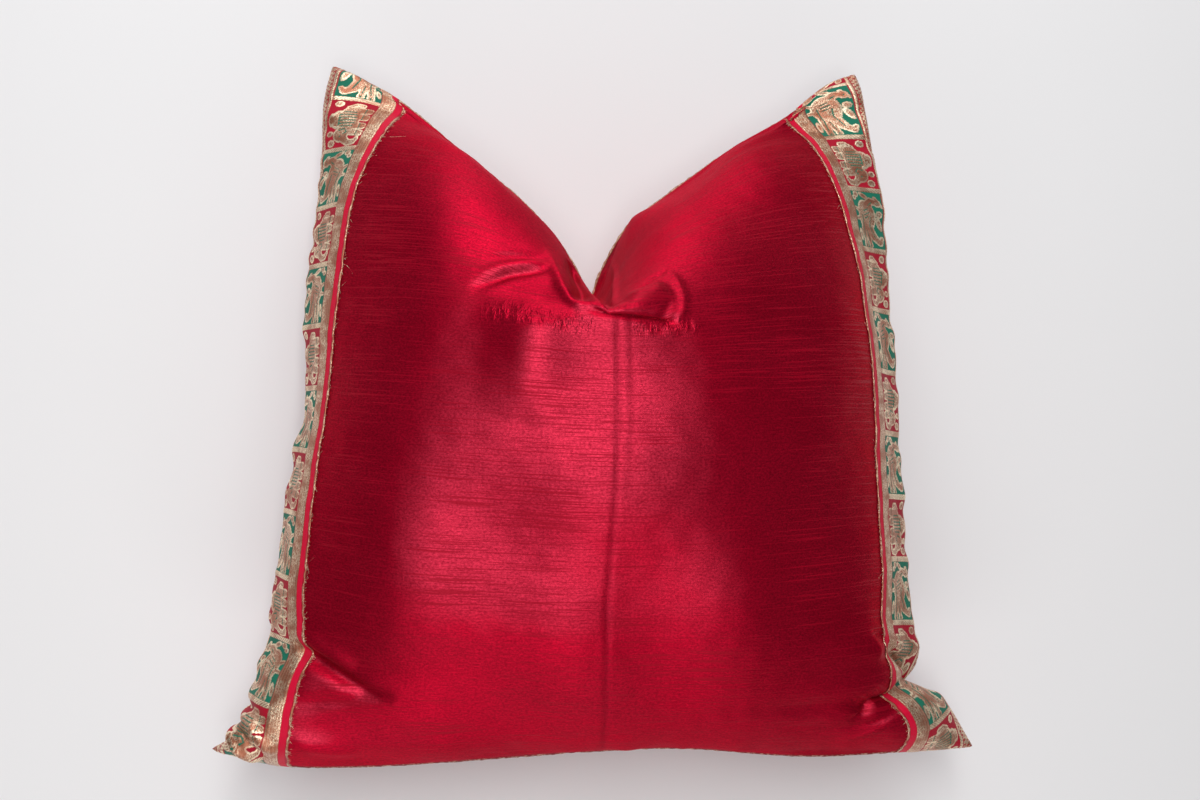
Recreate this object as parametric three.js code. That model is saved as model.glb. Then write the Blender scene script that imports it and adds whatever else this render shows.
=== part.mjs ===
// A square pillow cover on its filled pillow, lying on its back with its face up.
// Millimetres. +X runs to the right across the face, +Y to its top edge and +Z out of the face.
// Two square silk panels meet in one seam all round. The top edge is pressed down in its middle, so the
// two top corners stand up as ears beside an open notch. A woven trim runs down each side of the face.

import * as THREE from "three";

// Driving dimensions
const panelSide = 660; // side of the square that each silk panel is cut to
const gridCells = 44; // cells along each side of a panel
const trimCells = 4; // cells that a trim covers, counted from its side seam
const trimThickness = 1.2;
const trimClearance = 0.4; // from the silk below a trim

// Share of the cut length that the filling leaves between the seams, for the face and the back: across
// the panel at its middle row and at its bottom and top edges, and along it from bottom to top. notch is
// the further share that the pressed top edge gathers along the columns below it.
const ease = [
  { panel: "face", middle: 0.93, edge: 0.98, along: 0.945, notch: 0.18 },
  { panel: "back", middle: 0.92, edge: 0.98, along: 0.88, notch: 0.16 },
];
const gatherWidth = 0.2; // of the panel's width, to each side of the notch
const gatherRise = 0.1; // of the panel's height, above its middle row, over which the gather builds up

// The notch is a wedge that keeps the cloth of the two ears apart. It falls at the share across of the
// panel's width. left and right say how far its walls lean out for each millimetre up, and lean how far
// its floor drops for each millimetre from the seam's height.
const notch = { across: 0.483, left: 0.52, right: 0.5, lean: 0.25, clearance: 3 };

// Folds pressed into the face, as soft troughs from one place on the panel to another. Places are in
// hundredths of its width from the left seam and of its height from the bottom seam.
const folds = [
  { name: "right corner", across: [102, 78], up: [14.5, 9], depth: 13, width: 15 },
  { name: "left corner", across: [8, 19], up: [18.5, 15.5], depth: 8, width: 14 },
];

// Filling: how the two panels swell until their threads are taut
const settleSteps = 300;
const passesPerStep = 4;
const swellPerStep = 0.005; // in cells, along the cloth's normal
const carryOver = 0.9; // share of a step's movement that the next step keeps
const slackHeights = [125, -100]; // of the face and the back over the seams, before they swell
const panelGap = 2; // least height of the face over the seams' patch, and depth of the back under it

// Threads of the cloth, as links from a grid point to another, counted in rows and columns. A stretched
// link closes by the share pull of its error, and a crowded one opens by the share push.
const links = [
  { name: "across", rows: 0, columns: 1, pull: 1, push: 0.3 },
  { name: "along", rows: 1, columns: 0, pull: 1, push: 0.3 },
  { name: "rising bias", rows: 1, columns: 1, pull: 0.4, push: 0.12 },
  { name: "falling bias", rows: 1, columns: -1, pull: 0.4, push: 0.12 },
  { name: "stiffness across", rows: 0, columns: 2, pull: 0, push: 0.05 },
  { name: "stiffness along", rows: 2, columns: 0, pull: 0, push: 0.05 },
];

// The seam as it lies on the filled pillow, in hundredths of panelSide. z is the height over the surface
// that the pillow lies on. The bottom right corner is folded in above its tip, and the left one is bent.
const seamPoint = (x, y, z) => new THREE.Vector3(x, y, z).multiplyScalar(panelSide / 100);
const notchFloor = seamPoint(-1.9, 14.0, 16.9);
const topSeam = [
  seamPoint(-35.8, 44.8, 13.9),
  seamPoint(-27.2, 40.1, 15.5),
  seamPoint(-17.9, 32.2, 16.7),
  seamPoint(-11.2, 26.9, 17.0),
  seamPoint(-6.4, 21.7, 17.0),
  seamPoint(-3.8, 17.8, 17.0),
  notchFloor,
  seamPoint(-0.8, 16.9, 17.0),
  seamPoint(3.1, 23.7, 17.0),
  seamPoint(7.1, 27.0, 17.0),
  seamPoint(16.9, 34.3, 16.7),
  seamPoint(25.2, 39.6, 15.8),
  seamPoint(31.2, 44.5, 14.7),
  seamPoint(34.7, 46.1, 13.9),
];
const bottomSeam = [
  seamPoint(-49.1, -43.8, 13.0),
  seamPoint(-40.4, -45.8, 13.9),
  seamPoint(-30.4, -46.0, 14.8),
  seamPoint(-14.6, -45.1, 15.8),
  seamPoint(-0.5, -44.2, 15.9),
  seamPoint(9.8, -44.0, 15.8),
  seamPoint(26.6, -45.2, 15.2),
  seamPoint(39.7, -44.8, 13.9),
  seamPoint(49.0, -44.3, 13.0),
];
const leftSeam = [
  seamPoint(-49.1, -43.8, 13.0),
  seamPoint(-45.2, -42.1, 14.2),
  seamPoint(-44.3, -38.4, 14.8),
  seamPoint(-42.1, -30.3, 15.8),
  seamPoint(-39.9, -15.6, 16.8),
  seamPoint(-38.6, -5.7, 17.0),
  seamPoint(-37.7, -0.1, 17.0),
  seamPoint(-38.0, 15.9, 17.0),
  seamPoint(-37.1, 32.5, 16.1),
  seamPoint(-37.0, 39.9, 15.2),
  seamPoint(-35.8, 44.8, 13.9),
];
const rightSeam = [
  seamPoint(49.0, -44.3, 13.0),
  seamPoint(44.4, -37.6, 13.9),
  seamPoint(39.8, -37.0, 14.5),
  seamPoint(39.5, -35.7, 14.8),
  seamPoint(41.3, -33.3, 15.8),
  seamPoint(40.3, -28.2, 16.4),
  seamPoint(38.9, -11.9, 17.0),
  seamPoint(38.6, 4.1, 17.0),
  seamPoint(37.9, 20.6, 16.8),
  seamPoint(36.6, 36.2, 15.8),
  seamPoint(35.6, 43.4, 14.8),
  seamPoint(34.7, 46.1, 13.9),
];

const silk = new THREE.MeshStandardMaterial({ color: 0xa8102c, roughness: 0.45, metalness: 0 });
const brocade = new THREE.MeshStandardMaterial({ color: 0x9c7a4e, roughness: 0.5, metalness: 0.3 });

// Both panels are one array of x, y, z. Panel 0 is the face and panel 1 the back, rows run from the
// bottom seam to the top seam, and columns from the left seam to the right.
const cell = panelSide / gridCells;
const side = gridCells + 1;
const notchColumn = Math.round(notch.across * gridCells);
const index = (panel, row, column) => (panel * side + row) * side + column;
const onSeam = (row, column) => row === 0 || column === 0 || row === gridCells || column === gridCells;
const clamp = (value, low, high) => Math.min(Math.max(value, low), high);

// Calls visit for every grid point of both panels.
function eachPoint(visit) {
  for (let panel = 0; panel < 2; panel += 1) {
    for (let row = 0; row < side; row += 1) {
      for (let column = 0; column < side; column += 1) {
        visit(panel, row, column, index(panel, row, column));
      }
    }
  }
}

// Even steps along one seam, from one corner that it shares with a neighbour to the other.
function seamRun(points) {
  const curve = new THREE.CatmullRomCurve3(points);
  curve.arcLengthDivisions = 40 * gridCells;
  return curve.getSpacedPoints(gridCells);
}

const seams = {
  top: seamRun(topSeam),
  bottom: seamRun(bottomSeam),
  left: seamRun(leftSeam),
  right: seamRun(rightSeam),
};

// A point of the patch that the four seams span: the sum of the two ruled surfaces between facing seams,
// less the surface through the four corners that both of them hold.
function patchPoint(row, column) {
  const across = column / gridCells;
  const up = row / gridCells;
  return new THREE.Vector3()
    .addScaledVector(seams.left[row], 1 - across)
    .addScaledVector(seams.right[row], across)
    .addScaledVector(seams.bottom[column], 1 - up)
    .addScaledVector(seams.top[column], up)
    .addScaledVector(seams.bottom[0], -(1 - across) * (1 - up))
    .addScaledVector(seams.bottom[gridCells], -across * (1 - up))
    .addScaledVector(seams.top[0], -(1 - across) * up)
    .addScaledVector(seams.top[gridCells], -across * up);
}

// The panels before filling: the seams' patch, raised on the face and lowered on the back by a half
// ellipse each way, and never under the surface.
function slackCover() {
  const cloth = new Float64Array(2 * side * side * 3);
  eachPoint((panel, row, column, at) => {
    const across = (2 * column) / gridCells - 1;
    const up = (2 * row) / gridCells - 1;
    const point = patchPoint(row, column);
    point.z += slackHeights[panel] * Math.sqrt((1 - across ** 2) * (1 - up ** 2));
    point.z = Math.max(point.z, 0);
    point.toArray(cloth, 3 * at);
  });
  return cloth;
}

// The rest length of every link of one kind, at the grid point that it starts from.
function restLengths(link) {
  const rests = new Float64Array(2 * side * side);
  eachPoint((panel, row, column, at) => {
    const share = ease[panel];
    const edge = ((2 * row) / gridCells - 1) ** 4;
    const gather = Math.exp(-(((column / gridCells - notch.across) / gatherWidth) ** 2));
    const built = clamp((row / gridCells - 0.5) / gatherRise, 0, 1);
    const across = share.middle + (share.edge - share.middle) * edge;
    const along = share.along - share.notch * gather * built;
    rests[at] = cell * Math.hypot(link.columns * across, link.rows * along);
  });
  return rests;
}

// The normal at a grid point, out of the pillow, of length 1 where the cell has its cut size.
function clothNormal(cloth, panel, row, column) {
  const read = (r, c) => new THREE.Vector3().fromArray(cloth, 3 * index(panel, r, c));
  const near = (place, step) => clamp(place + step, 0, gridCells);
  const across = read(row, near(column, 1)).sub(read(row, near(column, -1)));
  const up = read(near(row, 1), column).sub(read(near(row, -1), column));
  return across.cross(up).multiplyScalar((panel === 0 ? 1 : -1) / (4 * cell * cell));
}

// Moves the two ends of one link along the line between them.
function settleLink(cloth, from, to, rest, link) {
  const dx = cloth[to] - cloth[from];
  const dy = cloth[to + 1] - cloth[from + 1];
  const dz = cloth[to + 2] - cloth[from + 2];
  const error = 1 - rest / (Math.hypot(dx, dy, dz) + 1e-9);
  const share = 0.5 * error * (error > 0 ? link.pull : link.push);
  cloth[from] += share * dx;
  cloth[from + 1] += share * dy;
  cloth[from + 2] += share * dz;
  cloth[to] -= share * dx;
  cloth[to + 1] -= share * dy;
  cloth[to + 2] -= share * dz;
}

// One pass over every link of a kind: first those that start at an even place, then the odd ones.
function settleLinks(cloth, link, rests) {
  const reach = link.rows || link.columns;
  for (const phase of [0, 1]) {
    eachPoint((panel, row, column, at) => {
      const place = link.rows ? row : column;
      const toColumn = column + link.columns;
      const inside = row + link.rows <= gridCells && toColumn >= 0 && toColumn <= gridCells;
      if (inside && Math.floor(place / reach) % 2 === phase) {
        const to = index(panel, row + link.rows, toColumn);
        settleLink(cloth, 3 * at, 3 * to, rests[at], link);
      }
    });
  }
}

// Keeps a point of an ear on its own side of the notch's wedge, and the column between them on its floor.
function clearNotch(cloth, x, column) {
  const floor = notchFloor.y - notch.lean * Math.abs(cloth[x + 2] - notchFloor.z);
  const rise = cloth[x + 1] - floor;
  if (rise <= 0) return;
  if (column < notchColumn) {
    cloth[x] = Math.min(cloth[x], notchFloor.x - notch.left * rise - notch.clearance);
  } else if (column > notchColumn) {
    cloth[x] = Math.max(cloth[x], notchFloor.x + notch.right * rise + notch.clearance);
  } else {
    cloth[x + 1] = floor;
  }
}

// Swells the slack cover until its threads hold it, with the seam in place, the face over the seams'
// patch, the back between it and the surface, and the notch open.
function filledCover() {
  const cloth = slackCover();
  const seamed = cloth.slice();
  const patchHeights = new Float64Array(2 * side * side);
  eachPoint((panel, row, column, at) => patchHeights.fill(patchPoint(row, column).z, at, at + 1));
  const kinds = links.map((link) => ({ link, rests: restLengths(link) }));
  let last = cloth.slice();
  for (let step = 0; step < settleSteps; step += 1) {
    const now = cloth.slice();
    eachPoint((panel, row, column, at) => {
      const swell = clothNormal(now, panel, row, column).multiplyScalar(swellPerStep * cell);
      cloth[3 * at] += carryOver * (now[3 * at] - last[3 * at]) + swell.x;
      cloth[3 * at + 1] += carryOver * (now[3 * at + 1] - last[3 * at + 1]) + swell.y;
      cloth[3 * at + 2] += carryOver * (now[3 * at + 2] - last[3 * at + 2]) + swell.z;
    });
    last = now;
    for (let pass = 0; pass < passesPerStep; pass += 1) {
      kinds.forEach(({ link, rests }) => settleLinks(cloth, link, rests));
      eachPoint((panel, row, column, at) => {
        const low = panel === 0 ? patchHeights[at] + panelGap : 0;
        const high = panel === 0 ? Infinity : patchHeights[at] - panelGap;
        cloth[3 * at + 2] = clamp(cloth[3 * at + 2], low, high);
        clearNotch(cloth, 3 * at, column);
        if (onSeam(row, column)) cloth.set(seamed.subarray(3 * at, 3 * at + 3), 3 * at);
      });
    }
  }
  return cloth;
}

// Presses the folds into the face. A fold's depth fades to each side as a bell curve and towards both of
// its ends, and the seam stays where it is.
function foldFace(cloth) {
  const flat = cloth.slice();
  for (const fold of folds) {
    const start = new THREE.Vector2(fold.across[0], fold.up[0]).multiplyScalar(panelSide / 100);
    const end = new THREE.Vector2(fold.across[1], fold.up[1]).multiplyScalar(panelSide / 100);
    const run = end.clone().sub(start);
    for (let row = 1; row < gridCells; row += 1) {
      for (let column = 1; column < gridCells; column += 1) {
        const place = new THREE.Vector2(column * cell, row * cell).sub(start);
        const along = place.dot(run) / run.lengthSq();
        const aside = place.addScaledVector(run, -clamp(along, 0, 1)).length() / fold.width;
        const fade = Math.sin(Math.PI * clamp(along, 0, 1)) ** 0.5;
        const depth = fold.depth * fade * Math.exp(-(aside ** 2));
        const at = 3 * index(0, row, column);
        const normal = clothNormal(flat, 0, row, column).setLength(depth);
        cloth[at] -= normal.x;
        cloth[at + 1] -= normal.y;
        cloth[at + 2] -= normal.z;
      }
    }
  }
}

// Two triangles for each cell of a grid that starts at a column of the panel. The diagonal between them
// points at the panel's nearest corner, whichever way they face. corner gives the vertex at a row and a
// column of the panel.
function gridFaces(rows, firstColumn, columns, corner, reversed = false) {
  const faces = [];
  for (let row = 0; row < rows; row += 1) {
    for (let column = firstColumn; column < firstColumn + columns; column += 1) {
      const a = corner(row, column);
      const b = corner(row, column + 1);
      const c = corner(row + 1, column + 1);
      const d = corner(row + 1, column);
      const rising = (row < gridCells / 2) === (column < gridCells / 2);
      const pair = rising ? [a, b, c, a, c, d] : [a, b, d, b, c, d];
      faces.push(...(reversed ? pair.reverse() : pair));
    }
  }
  return faces;
}

function namedMesh(name, positions, faces, material) {
  const geometry = new THREE.BufferGeometry();
  geometry.setAttribute("position", new THREE.Float32BufferAttribute(positions, 3));
  geometry.setIndex(faces);
  geometry.computeVertexNormals();
  const mesh = new THREE.Mesh(geometry, material);
  mesh.name = name;
  return mesh;
}

// The pillow as one closed solid. The back uses the face's vertices along the seam.
function coverMesh(cloth) {
  const backCorner = (row, column) => index(onSeam(row, column) ? 0 : 1, row, column);
  const face = gridFaces(gridCells, 0, gridCells, (row, column) => index(0, row, column));
  const back = gridFaces(gridCells, 0, gridCells, backCorner, true);
  return namedMesh("filled_cover", cloth, [...face, ...back], silk);
}

// A trim as one closed sheet over the face's columns from firstColumn on: its underside and its top
// follow the silk at two heights, and a wall joins them all round.
function trimMesh(name, cloth, firstColumn) {
  const positions = [];
  for (const height of [trimClearance, trimClearance + trimThickness]) {
    for (let row = 0; row < side; row += 1) {
      for (let column = firstColumn; column <= firstColumn + trimCells; column += 1) {
        const normal = clothNormal(cloth, 0, row, column).setLength(height);
        const point = new THREE.Vector3().fromArray(cloth, 3 * index(0, row, column)).add(normal);
        positions.push(point.x, point.y, point.z);
      }
    }
  }
  const width = trimCells + 1;
  const layer = side * width;
  const rim = [];
  for (let column = 0; column < trimCells; column += 1) rim.push(column);
  for (let row = 0; row < gridCells; row += 1) rim.push(row * width + trimCells);
  for (let column = trimCells; column > 0; column -= 1) rim.push(gridCells * width + column);
  for (let row = gridCells; row > 0; row -= 1) rim.push(row * width);
  const lower = (row, column) => row * width + column - firstColumn;
  const upper = (row, column) => layer + lower(row, column);
  const top = gridFaces(gridCells, firstColumn, trimCells, upper);
  const under = gridFaces(gridCells, firstColumn, trimCells, lower, true);
  const wall = gridFaces(1, 0, rim.length, (level, place) => level * layer + rim[place % rim.length]);
  return namedMesh(name, positions, [...top, ...under, ...wall], brocade);
}

const cloth = filledCover();
foldFace(cloth);
const pillow = new THREE.Group();
pillow.add(coverMesh(cloth));
pillow.add(trimMesh("trim_left", cloth, 0));
pillow.add(trimMesh("trim_right", cloth, gridCells - trimCells));

// The origin is under the middle of the whole part, on the surface that it lies on.
const box = new THREE.Box3().setFromObject(pillow);
const centre = box.getCenter(new THREE.Vector3());
pillow.position.set(-centre.x, -centre.y, -box.min.z);

export default pillow;
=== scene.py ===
"""A square silk pillow cover on its filled pillow, lying face up, with a woven trim down each side of its face.

The cloth is worked out as two square grids of points, the face and the back, joined by one seam. Along a
grid, across is the share of the panel's width from the left seam and up the share of its height from the
bottom seam. Lengths are in metres unless a name or a comment says millimetres.
"""

import math

import bpy
import numpy as np
from mathutils import Matrix, Vector


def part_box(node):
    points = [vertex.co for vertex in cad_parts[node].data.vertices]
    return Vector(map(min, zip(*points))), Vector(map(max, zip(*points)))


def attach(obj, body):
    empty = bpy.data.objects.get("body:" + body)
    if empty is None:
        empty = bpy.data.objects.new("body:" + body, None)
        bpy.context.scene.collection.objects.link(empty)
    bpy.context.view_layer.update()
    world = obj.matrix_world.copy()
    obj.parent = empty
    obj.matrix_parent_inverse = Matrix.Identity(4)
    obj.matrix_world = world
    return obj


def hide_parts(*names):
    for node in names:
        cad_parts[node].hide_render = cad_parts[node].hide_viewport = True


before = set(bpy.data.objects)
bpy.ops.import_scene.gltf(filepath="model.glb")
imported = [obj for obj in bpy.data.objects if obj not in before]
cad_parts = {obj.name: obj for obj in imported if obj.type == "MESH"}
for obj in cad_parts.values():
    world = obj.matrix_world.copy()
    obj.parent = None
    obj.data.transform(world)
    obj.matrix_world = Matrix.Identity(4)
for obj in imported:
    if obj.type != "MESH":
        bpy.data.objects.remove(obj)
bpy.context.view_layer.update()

bl_info = {
    "name": "Silk pillow cover",
    "version": (1, 0, 0),
    "blender": (4, 5, 0),
    "location": "View3D > Sidebar > Pillow",
    "description": "A filled silk pillow cover with woven trims, worked out from its cut sizes",
    "category": "Object",
}

MM = 0.001

# Grid of a panel. The cloth settles on the coarse grid first and then on each finer one.
COARSE_CELLS = 66
LEVELS = [(COARSE_CELLS, 260), (2 * COARSE_CELLS, 70), (4 * COARSE_CELLS, 24)]
FACE_CELLS = LEVELS[-1][0]
BACK_STEP = 2  # the back keeps every second point

# Points of each seam as it lies on the filled pillow: x, y and height, in hundredths of the panel's side
NOTCH_FLOOR = (-1.9, 14.0, 16.9)
SEAMS = {
    "top": [
        (-35.8, 44.8, 13.9), (-27.2, 40.1, 15.5), (-17.9, 32.2, 16.7), (-11.2, 26.9, 17.0),
        (-6.4, 21.7, 17.0), (-3.8, 17.8, 17.0), NOTCH_FLOOR, (-0.8, 16.9, 17.0), (3.1, 23.7, 17.0),
        (7.1, 27.0, 17.0), (16.9, 34.3, 16.7), (25.2, 39.6, 15.8), (31.2, 44.5, 14.7), (34.7, 46.1, 13.9),
    ],
    "bottom": [
        (-49.1, -43.8, 13.0), (-40.4, -45.8, 13.9), (-30.4, -46.0, 14.8), (-14.6, -45.1, 15.8),
        (-0.5, -44.2, 15.9), (9.8, -44.0, 15.8), (26.6, -45.2, 15.2), (39.7, -44.8, 13.9),
        (49.0, -44.3, 13.0),
    ],
    "left": [
        (-49.1, -43.8, 13.0), (-45.2, -42.1, 14.2), (-44.3, -38.4, 14.8), (-42.1, -30.3, 15.8),
        (-39.9, -15.6, 16.8), (-38.6, -5.7, 17.0), (-37.7, -0.1, 17.0), (-38.0, 15.9, 17.0),
        (-37.1, 32.5, 16.1), (-37.0, 39.9, 15.2), (-35.8, 44.8, 13.9),
    ],
    "right": [
        (49.0, -44.3, 13.0), (44.4, -37.6, 13.9), (39.8, -37.0, 14.5), (39.5, -35.7, 14.8),
        (41.3, -33.3, 15.8), (40.3, -28.2, 16.4), (38.9, -11.9, 17.0), (38.6, 4.1, 17.0),
        (37.9, 20.6, 16.8), (36.6, 36.2, 15.8), (35.6, 43.4, 14.8), (34.7, 46.1, 13.9),
    ],
}

# Where the trims' plain stripe lies seen from straight above, from the bottom: x and y in hundredths
STRIPE_LINES = {
    "left": [
        (-40.2, -44.8), (-39.7, -41.6), (-39.2, -38.1), (-38.3, -34.6), (-37.4, -32.1), (-37.9, -29.2),
        (-38.2, -25.0), (-38.0, -21.8), (-37.4, -15.7), (-36.6, -9.7), (-35.7, -2.3), (-34.9, 5.1),
        (-34.2, 12.6), (-33.6, 20.3), (-32.7, 25.5), (-31.2, 30.0), (-29.4, 34.2), (-27.1, 38.7),
    ],
    "right": [
        (39.0, -44.5), (39.1, -41.7), (37.6, -39.1), (36.1, -37.9), (34.6, -37.0), (35.5, -36.0),
        (35.9, -34.8), (35.9, -33.2), (35.5, -31.2), (34.6, -27.5), (34.4, -22.0), (34.1, -13.0), (33.9, -4.0),
        (33.5, 4.0), (32.9, 10.0), (32.5, 16.8), (31.3, 22.2), (29.8, 27.9), (28.1, 34.0), (26.8, 37.1),
        (25.1, 39.0),
    ],
}
STRIPE_PLACE = 0.096  # its share of the panel's width from the side seam
LEAN_END = 0.42  # share at which the cloth is no longer moved by it
LEAN_EVENING = 5
WALL_LEANS = {"left": 0.2, "right": 0.5}  # beside the stripe, the least way in for a rise of 1

# How far the side seams lie inside the outermost line of their side, and the bulge of the cloth beside
# them, in mm, with the bulge's place and half width from the seam
SEAM_TURNS = {"left": 2.0, "right": 3.0}
BULGES = {"left": 3.2, "right": 4.6}
BULGE_PLACE = 13.0
BULGE_WIDTH = 10.0

# How far inside the top seam's line the face and the back must stay, as a share of their height from it
TUCK_SHARES = (0.34, 0.06)
TUCK_START = 3 * MM
TUCK_REACH = 70 * MM

# Dents and bulges of the side seams: side, place up in hundredths, how far in and half width, in mm
SEAM_DENTS = [
    ("left", 45.0, -2.4, 9.0),
    ("left", 29.3, 4.2, 8.0),
    ("left", 20.5, 1.8, 10.0),
    ("right", 62.5, 3.0, 13.0),
    ("right", 54.5, 2.2, 12.0),
    ("right", 48.7, 4.2, 6.0),
    ("right", 41.0, 3.6, 15.0),
]

# Share of the cut length that the filling leaves between the seams, for the face and the back
EASE_MIDDLE = (0.93, 0.92)
EASE_EDGE = (0.98, 0.98)
EASE_ALONG = (0.945, 0.88)
EASE_NOTCH = (0.18, 0.16)
GATHER_WIDTH = 0.2
GATHER_RISE = 0.1
NOTCH = {"across": 0.483, "left": 0.52, "right": 0.5, "lean": 0.25, "clearance": 3 * MM}
SLACK_HEIGHTS = (0.125, -0.1)
PANEL_GAP = 2 * MM

# Threads as links between grid points: rows, columns, share pulled when stretched, share pushed when crowded
LINKS = [(0, 1, 1.0, 0.3), (1, 0, 1.0, 0.3), (1, 1, 0.4, 0.12), (1, -1, 0.4, 0.12), (0, 2, 0.0, 0.05),
         (2, 0, 0.0, 0.05)]
SWELL = 0.005
CARRY_OVER = 0.9
PASSES = 4

# Creases pressed into the face. path: places as (across, up) in hundredths, its upper side on its left
# when walked from its first place. height: of a ridge, or of a trough below 0, in mm. width: half width
# in mm. fade: shares of the path over which each end fades. overhang: how far the cloth on the upper side
# is drawn over the crease, in mm. sunk: the crease goes straight down rather than along the normal.
CREASES = [
    {"name": "right corner fold", "path": [(82, 9.8), (85.4, 11.6), (88.4, 13.3), (91.6, 14.2)],
     "height": -7, "width": 4.2, "fade": (0.6, 0.35), "overhang": 8, "sunk": True},
    {"name": "right corner gap", "path": [(88.0, 13.1), (91.6, 14.2), (96, 15.1), (102, 15.9)],
     "height": -22, "width": 6, "fade": (0.3, 0.02), "overhang": 11, "sunk": True},
    {"name": "right corner hollow", "path": [(80, 8.4), (90, 11.8), (101, 13.6)], "height": -3,
     "width": 10, "fade": (0.5, 0.3), "sunk": True},
    {"name": "right corner second fold", "path": [(77, 7.8), (82.5, 8.7), (86, 9.6), (93, 11.6)],
     "height": -2.4, "width": 3.5, "fade": (0.6, 0.5), "overhang": 2, "sunk": True},
    {"name": "right corner ridge", "path": [(80.5, 5.0), (82.8, 6.2), (85, 7.5), (88.4, 9.2)], "height": 1.2,
     "width": 3, "fade": (0.5, 0.5), "sunk": True},
    {"name": "left kink", "path": [(7.6, 19.2), (10.7, 18.2), (14.3, 16.9), (18.9, 14.9), (23, 14.0)],
     "height": -8, "width": 6, "fade": (0.3, 0.5)},
    {"name": "left kink ridge", "path": [(8.5, 21.5), (13, 19.4), (17, 17.6)], "height": 3, "width": 8,
     "fade": (0.4, 0.4)},
    {"name": "left lower crease", "path": [(8.5, 11.6), (15, 13.0), (21.5, 14.2)], "height": -2.5,
     "width": 6, "fade": (0.4, 0.4)},
    {"name": "left low ridge", "path": [(10.5, 6.8), (14, 5.0), (19.5, 3.4)], "height": 3, "width": 8,
     "fade": (0.4, 0.4)},
    {"name": "left corner waist", "path": [(0, 10.2), (3.5, 9.4), (7.4, 8.8)], "height": -5.5, "width": 6,
     "fade": (0.05, 0.5)},
    {"name": "left corner upper ridge", "path": [(4.6, 8.4), (6.6, 6.4), (8.8, 4.4)], "height": 4,
     "width": 3.6, "fade": (0.3, 0.3)},
    {"name": "left corner furrow", "path": [(3.6, 7.0), (5.6, 5.0), (7.8, 3.0)], "height": -3.5,
     "width": 2.8, "fade": (0.3, 0.3)},
    {"name": "left corner ridge", "path": [(2.2, 6.2), (4.4, 3.9), (7.0, 2.0)], "height": 5, "width": 3.4,
     "fade": (0.3, 0.3)},
    {"name": "left corner tuck", "path": [(0.4, 5.4), (3.2, 3.0), (6.2, 0.9)], "height": -5, "width": 3.4,
     "fade": (0.15, 0.3)},
    {"name": "left ear hollow", "path": [(42.4, 82), (43.5, 76), (44.3, 71.5), (44.8, 68.6), (45.1, 67.2)],
     "height": -17, "width": 7, "fade": (0.4, 0.12), "sunk": True},
    {"name": "left ear ridge", "path": [(38.6, 79), (40.4, 73.5), (41.8, 69.6), (43.6, 67.3), (45.4, 66.2)],
     "height": 3.2, "width": 4.5, "fade": (0.5, 0.12)},
    {"name": "left crease upper", "path": [(31.3, 71.7), (35, 73.6), (39.0, 75.8)], "height": -3,
     "width": 4.5, "fade": (0.5, 0.3)},
    {"name": "left crease between", "path": [(31, 69.4), (35, 71.8), (39.2, 74.3)], "height": 2.4,
     "width": 4, "fade": (0.5, 0.3)},
    {"name": "left crease lower", "path": [(30.5, 66.6), (34.8, 70.0), (39.8, 72.8)], "height": -4,
     "width": 4.5, "fade": (0.5, 0.3)},
    {"name": "left brow", "path": [(37.5, 50), (38.6, 58), (39.4, 67)], "height": 11, "width": 31,
     "fade": (0.7, 0.3)},
    {"name": "lip", "path": [(45.6, 66.2), (48.5, 66.0), (51.3, 65.6), (53.6, 65.2), (56.6, 64.4)],
     "height": -5, "width": 4.0, "fade": (0.25, 0.1), "overhang": 6},
    {"name": "pocket", "path": [(54.2, 65.4), (55.6, 66.0), (56.5, 67.4)], "height": -1.8,
     "width": 2.8, "fade": (0.4, 0.6)},
    {"name": "pocket rim", "path": [(56.4, 64.2), (57.7, 65.4), (58.2, 67.6), (58.0, 70.5), (57.2, 73.5)],
     "height": 1.8, "width": 3.4, "fade": (0.2, 0.5)},
    {"name": "right ear swell", "path": [(50.8, 68.4), (54.0, 68.6), (56.6, 69.6)], "height": 4,
     "width": 10, "fade": (0.4, 0.3)},
    {"name": "right ear fold", "path": [(49.0, 68.4), (50.8, 78), (52.8, 90), (54, 98)], "height": 3,
     "width": 3.5, "fade": (0.2, 0.5)},
    {"name": "right ear crease", "path": [(52.8, 70.0), (58.6, 73.9)], "height": -1.6, "width": 2.4,
     "fade": (0.4, 0.4)},
    {"name": "pressed crease", "path": [(49.2, 65.5), (49.4, 50.6), (49.0, 38.1), (48.6, 27.8), (49.6, 1.0)],
     "height": -0.6, "width": 2.0, "fade": (0.02, 0.05)},
    {"name": "pressed crease beside it", "path": [(50.8, 65.4), (51.0, 50.6), (50.6, 40.0)],
     "height": -0.35, "width": 1.8, "fade": (0.02, 0.8)},
]

# Ripples that stand away from each seam: height and reach in mm, shortest and longest wave in mm
SEAM_RIPPLES = {
    "top": (0.5, 20, 22, 60),
    "bottom": (0.8, 22, 20, 55),
    "left": (1.3, 30, 16, 52),
    "right": (1.3, 30, 16, 52),
}

# Unevenness over a whole panel: height in mm, shortest and longest wave in mm
FILLING_LUMPS = (1.6, 110, 240)
SILK_CRUMPLE = (0.07, 20, 60)

# Rows of small puckers under the notch: place across and up in hundredths, half width and height in mm
PUCKER_ROWS = [
    {"across": (32.0, 47.5), "up": 64.0, "half": 8, "height": 0.36},
    {"across": (50.4, 60.5), "up": 63.2, "half": 6, "height": 0.36},
]

# Bands of the trim, in mm from the side seam
GUARD_END = 8.5
ROPE_END = 12.3
FIGURES_END = 45.0
RIBBED_END = 57.2
STRIPE_END = 62.3
TRIM_SHARE = 1.06  # the filled face is that much shorter than its cut length, and the trim isn't
TRIM_CELLS = 84
TRIM_ROWS = 1010
TRIM_UNDER_STEP = 7
GREEN_LENGTH = 55.5
RED_LENGTH = 54.5
ELEPHANT_STRETCH = 1.15
BAR_HALF = 2.3
FIGURE_FULLNESS = 0.9

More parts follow.
